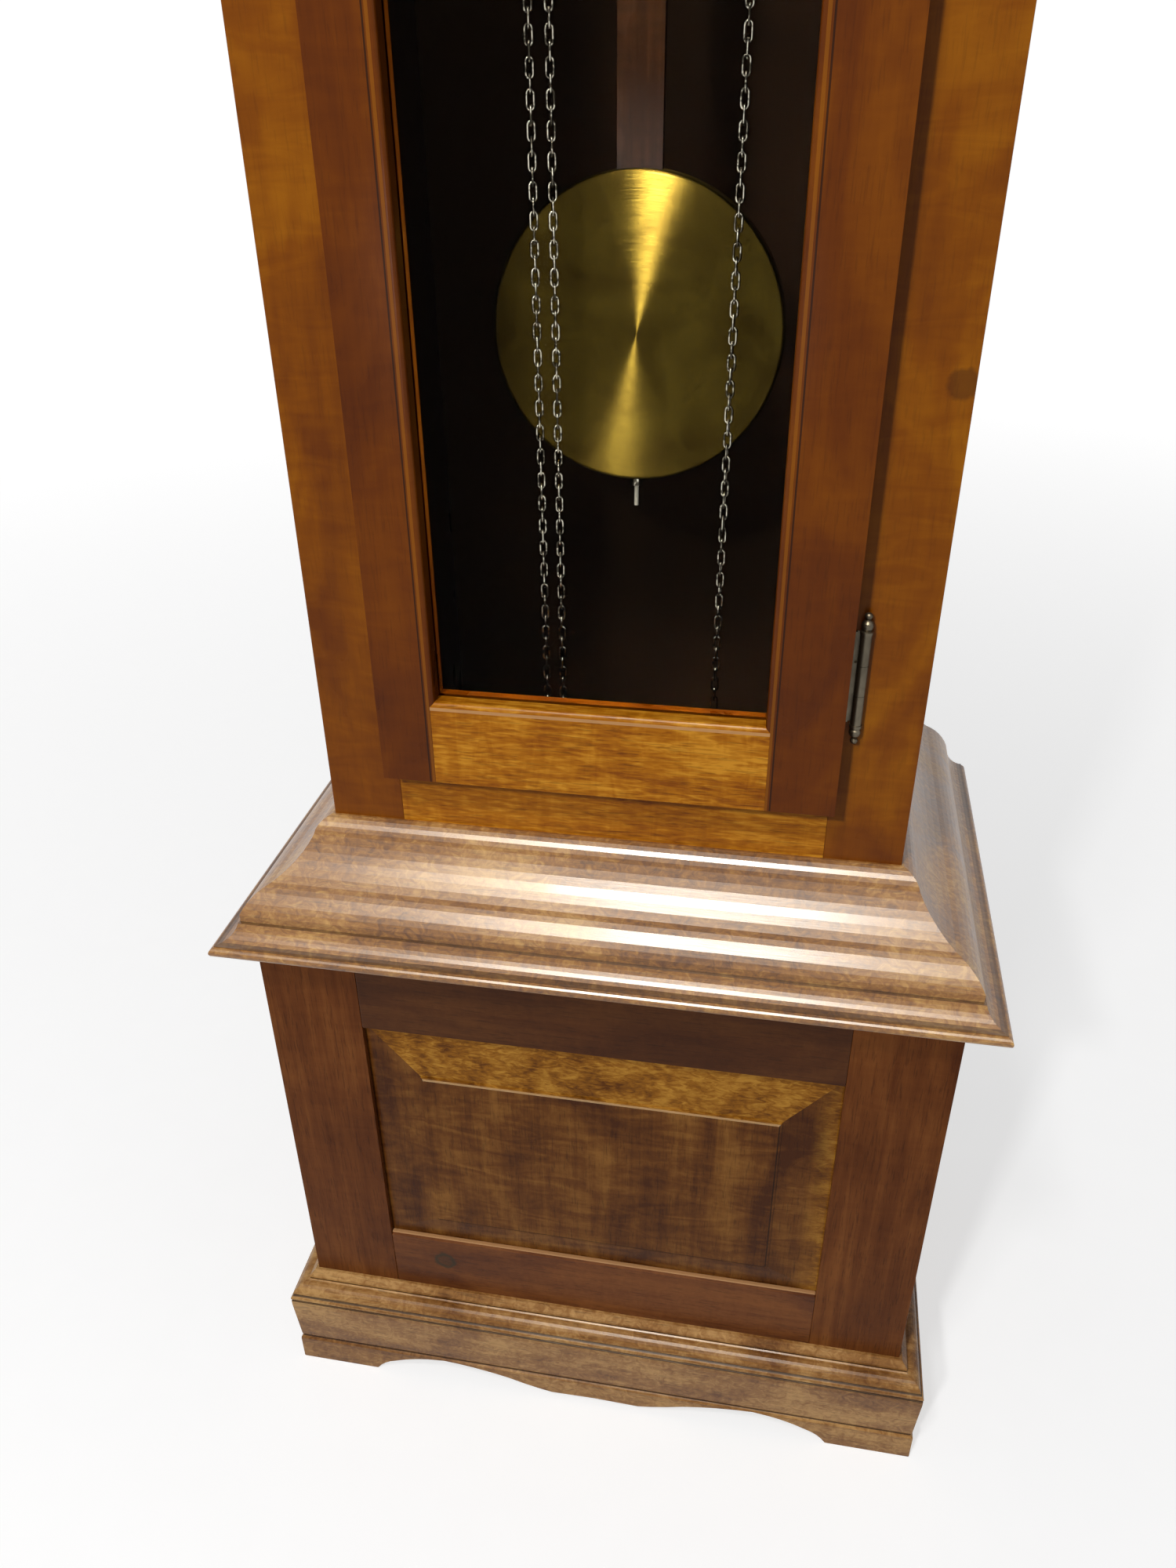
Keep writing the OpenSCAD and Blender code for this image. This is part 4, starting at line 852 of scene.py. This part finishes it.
dial_marks()
dial_corners()


# Stage
def white_paper():
    """White paper that keeps shadows. It glows more towards the back wall, where the lamps don't reach."""
    n = material("white_paper")
    speck = n.noise(n.at(), 30, 2)
    n.set(Base_Color=n.ramp(speck, (0.3, (0.49, 0.49, 0.49)), (0.7, (0.5, 0.5, 0.5))), Roughness=0.9,
          Specular_IOR_Level=0.1)
    away = n.add("VectorMath", {0: n.at()}, operation="LENGTH").outputs["Value"]
    glow = n.remap(away, 0.4, 3.5, 0.62, 0.9)
    shown = n.add("Emission", {"Color": (1, 1, 1), "Strength": n.times(n.seen(), glow)})
    return n.surface(n.add("AddShader", {0: n.shader.outputs[0], 1: shown.outputs[0]}))


def studio_floor():
    """Floor that bends up into a back wall, in metres."""
    bend_r, wall_y, wall_top, half_width, floor_front = 1.5, 5.5, 4.0, 7.0, -7.0
    section = [(floor_front, 0.0), (wall_y - bend_r, 0.0)]
    for degrees in range(6, 91, 6):
        a = math.radians(degrees)
        section.append((wall_y - bend_r + bend_r * math.sin(a), bend_r - bend_r * math.cos(a)))
    section.append((wall_y, wall_top))
    mesh = bpy.data.meshes.new("stage")
    mesh.from_pydata([(x, y, z) for y, z in section for x in (-half_width, half_width)], [],
                     [(2 * i, 2 * i + 1, 2 * i + 3, 2 * i + 2) for i in range(len(section) - 1)])
    mesh.polygons.foreach_set("use_smooth", [True] * len(mesh.polygons))
    mesh.materials.append(white_paper())
    floor = bpy.data.objects.new("stage", mesh)
    scene.collection.objects.link(floor)


def studio_world():
    """White where it is seen, and dim as a light."""
    scene.world = bpy.data.worlds.new("studio")
    n = Nodes(scene.world, "Background")
    n.set(Color=(1, 1, 1), Strength=n.remap(n.seen(), 0.0, 1.0, 0.25, 1.0))


studio_floor()
studio_world()


# Lamps, in metres and watts
def lamp(name, kind, place, target, power):
    data = bpy.data.lights.new(name, kind)
    data.energy = power
    obj = bpy.data.objects.new(name, data)
    obj.location = place
    obj.rotation_euler = (Vector(target) - Vector(place)).to_track_quat("-Z", "Y").to_euler()
    obj.visible_camera = False
    scene.collection.objects.link(obj)
    return obj


def soft_lamp(name, place, target, power, side):
    """Square lamp that lights the object without showing in its gloss."""
    obj = lamp(name, "AREA", place, target, power)
    obj.data.shape = "RECTANGLE"
    obj.data.size = obj.data.size_y = side
    obj.visible_glossy = False


def gloss_lamp(name, place, target, power, angle, blend, radius, colour=(1, 1, 1)):
    """Spot that shows only in the gloss."""
    obj = lamp(name, "SPOT", place, target, power)
    obj.data.color = colour
    obj.data.spot_size = math.radians(angle)
    obj.data.spot_blend = blend
    obj.data.shadow_soft_size = radius
    obj.visible_diffuse = False


soft_lamp("key", (-0.39, -1.31, 2.37), (0, -0.1, 0.9), 14, 0.25)
soft_lamp("front", (-0.55, -1.95, 1.95), (0, -0.1, 0.8), 26, 0.14)
gloss_lamp("sheen", (-0.1, -1.35, 2.3), (0, -0.13, 0.46), 420, 27, 0.5, 0.27, (1, 0.93, 0.82))
gloss_lamp("bob_spot", (-0.16, -1.9, 1.2), (-0.004, 0, BOB_Z * MM), 230, 7.2, 0.35, 0.025)

# Camera, as fitted to the photograph: turns in radians, its place in metres and its focal length in pixels
YAW, PITCH_DOWN, ROLL = -0.1840, 0.5435, 0.0105
CAMERA_PLACE = (0.1054, FRONT * MM - 0.6349, 0.9531)
FOCAL_PIXELS = 1508.19
FRAME_PIXELS = 2000
SENSOR = 36


def photo_camera():
    ahead = Vector((math.sin(YAW) * math.cos(PITCH_DOWN), math.cos(YAW) * math.cos(PITCH_DOWN),
                    -math.sin(PITCH_DOWN)))
    level = Vector((math.cos(YAW), -math.sin(YAW), 0))
    down = ahead.cross(level)
    right = level * math.cos(ROLL) + down * math.sin(ROLL)
    below = down * math.cos(ROLL) - level * math.sin(ROLL)
    data = bpy.data.cameras.new("camera")
    data.sensor_width = SENSOR
    data.lens = FOCAL_PIXELS / FRAME_PIXELS * SENSOR
    data.clip_start = 0.01
    camera = bpy.data.objects.new("camera", data)
    axes = Matrix((right, -below, -ahead)).transposed().to_4x4()
    camera.matrix_world = Matrix.Translation(CAMERA_PLACE) @ axes
    scene.collection.objects.link(camera)
    scene.camera = camera


photo_camera()
scene.view_settings.view_transform = "Standard"
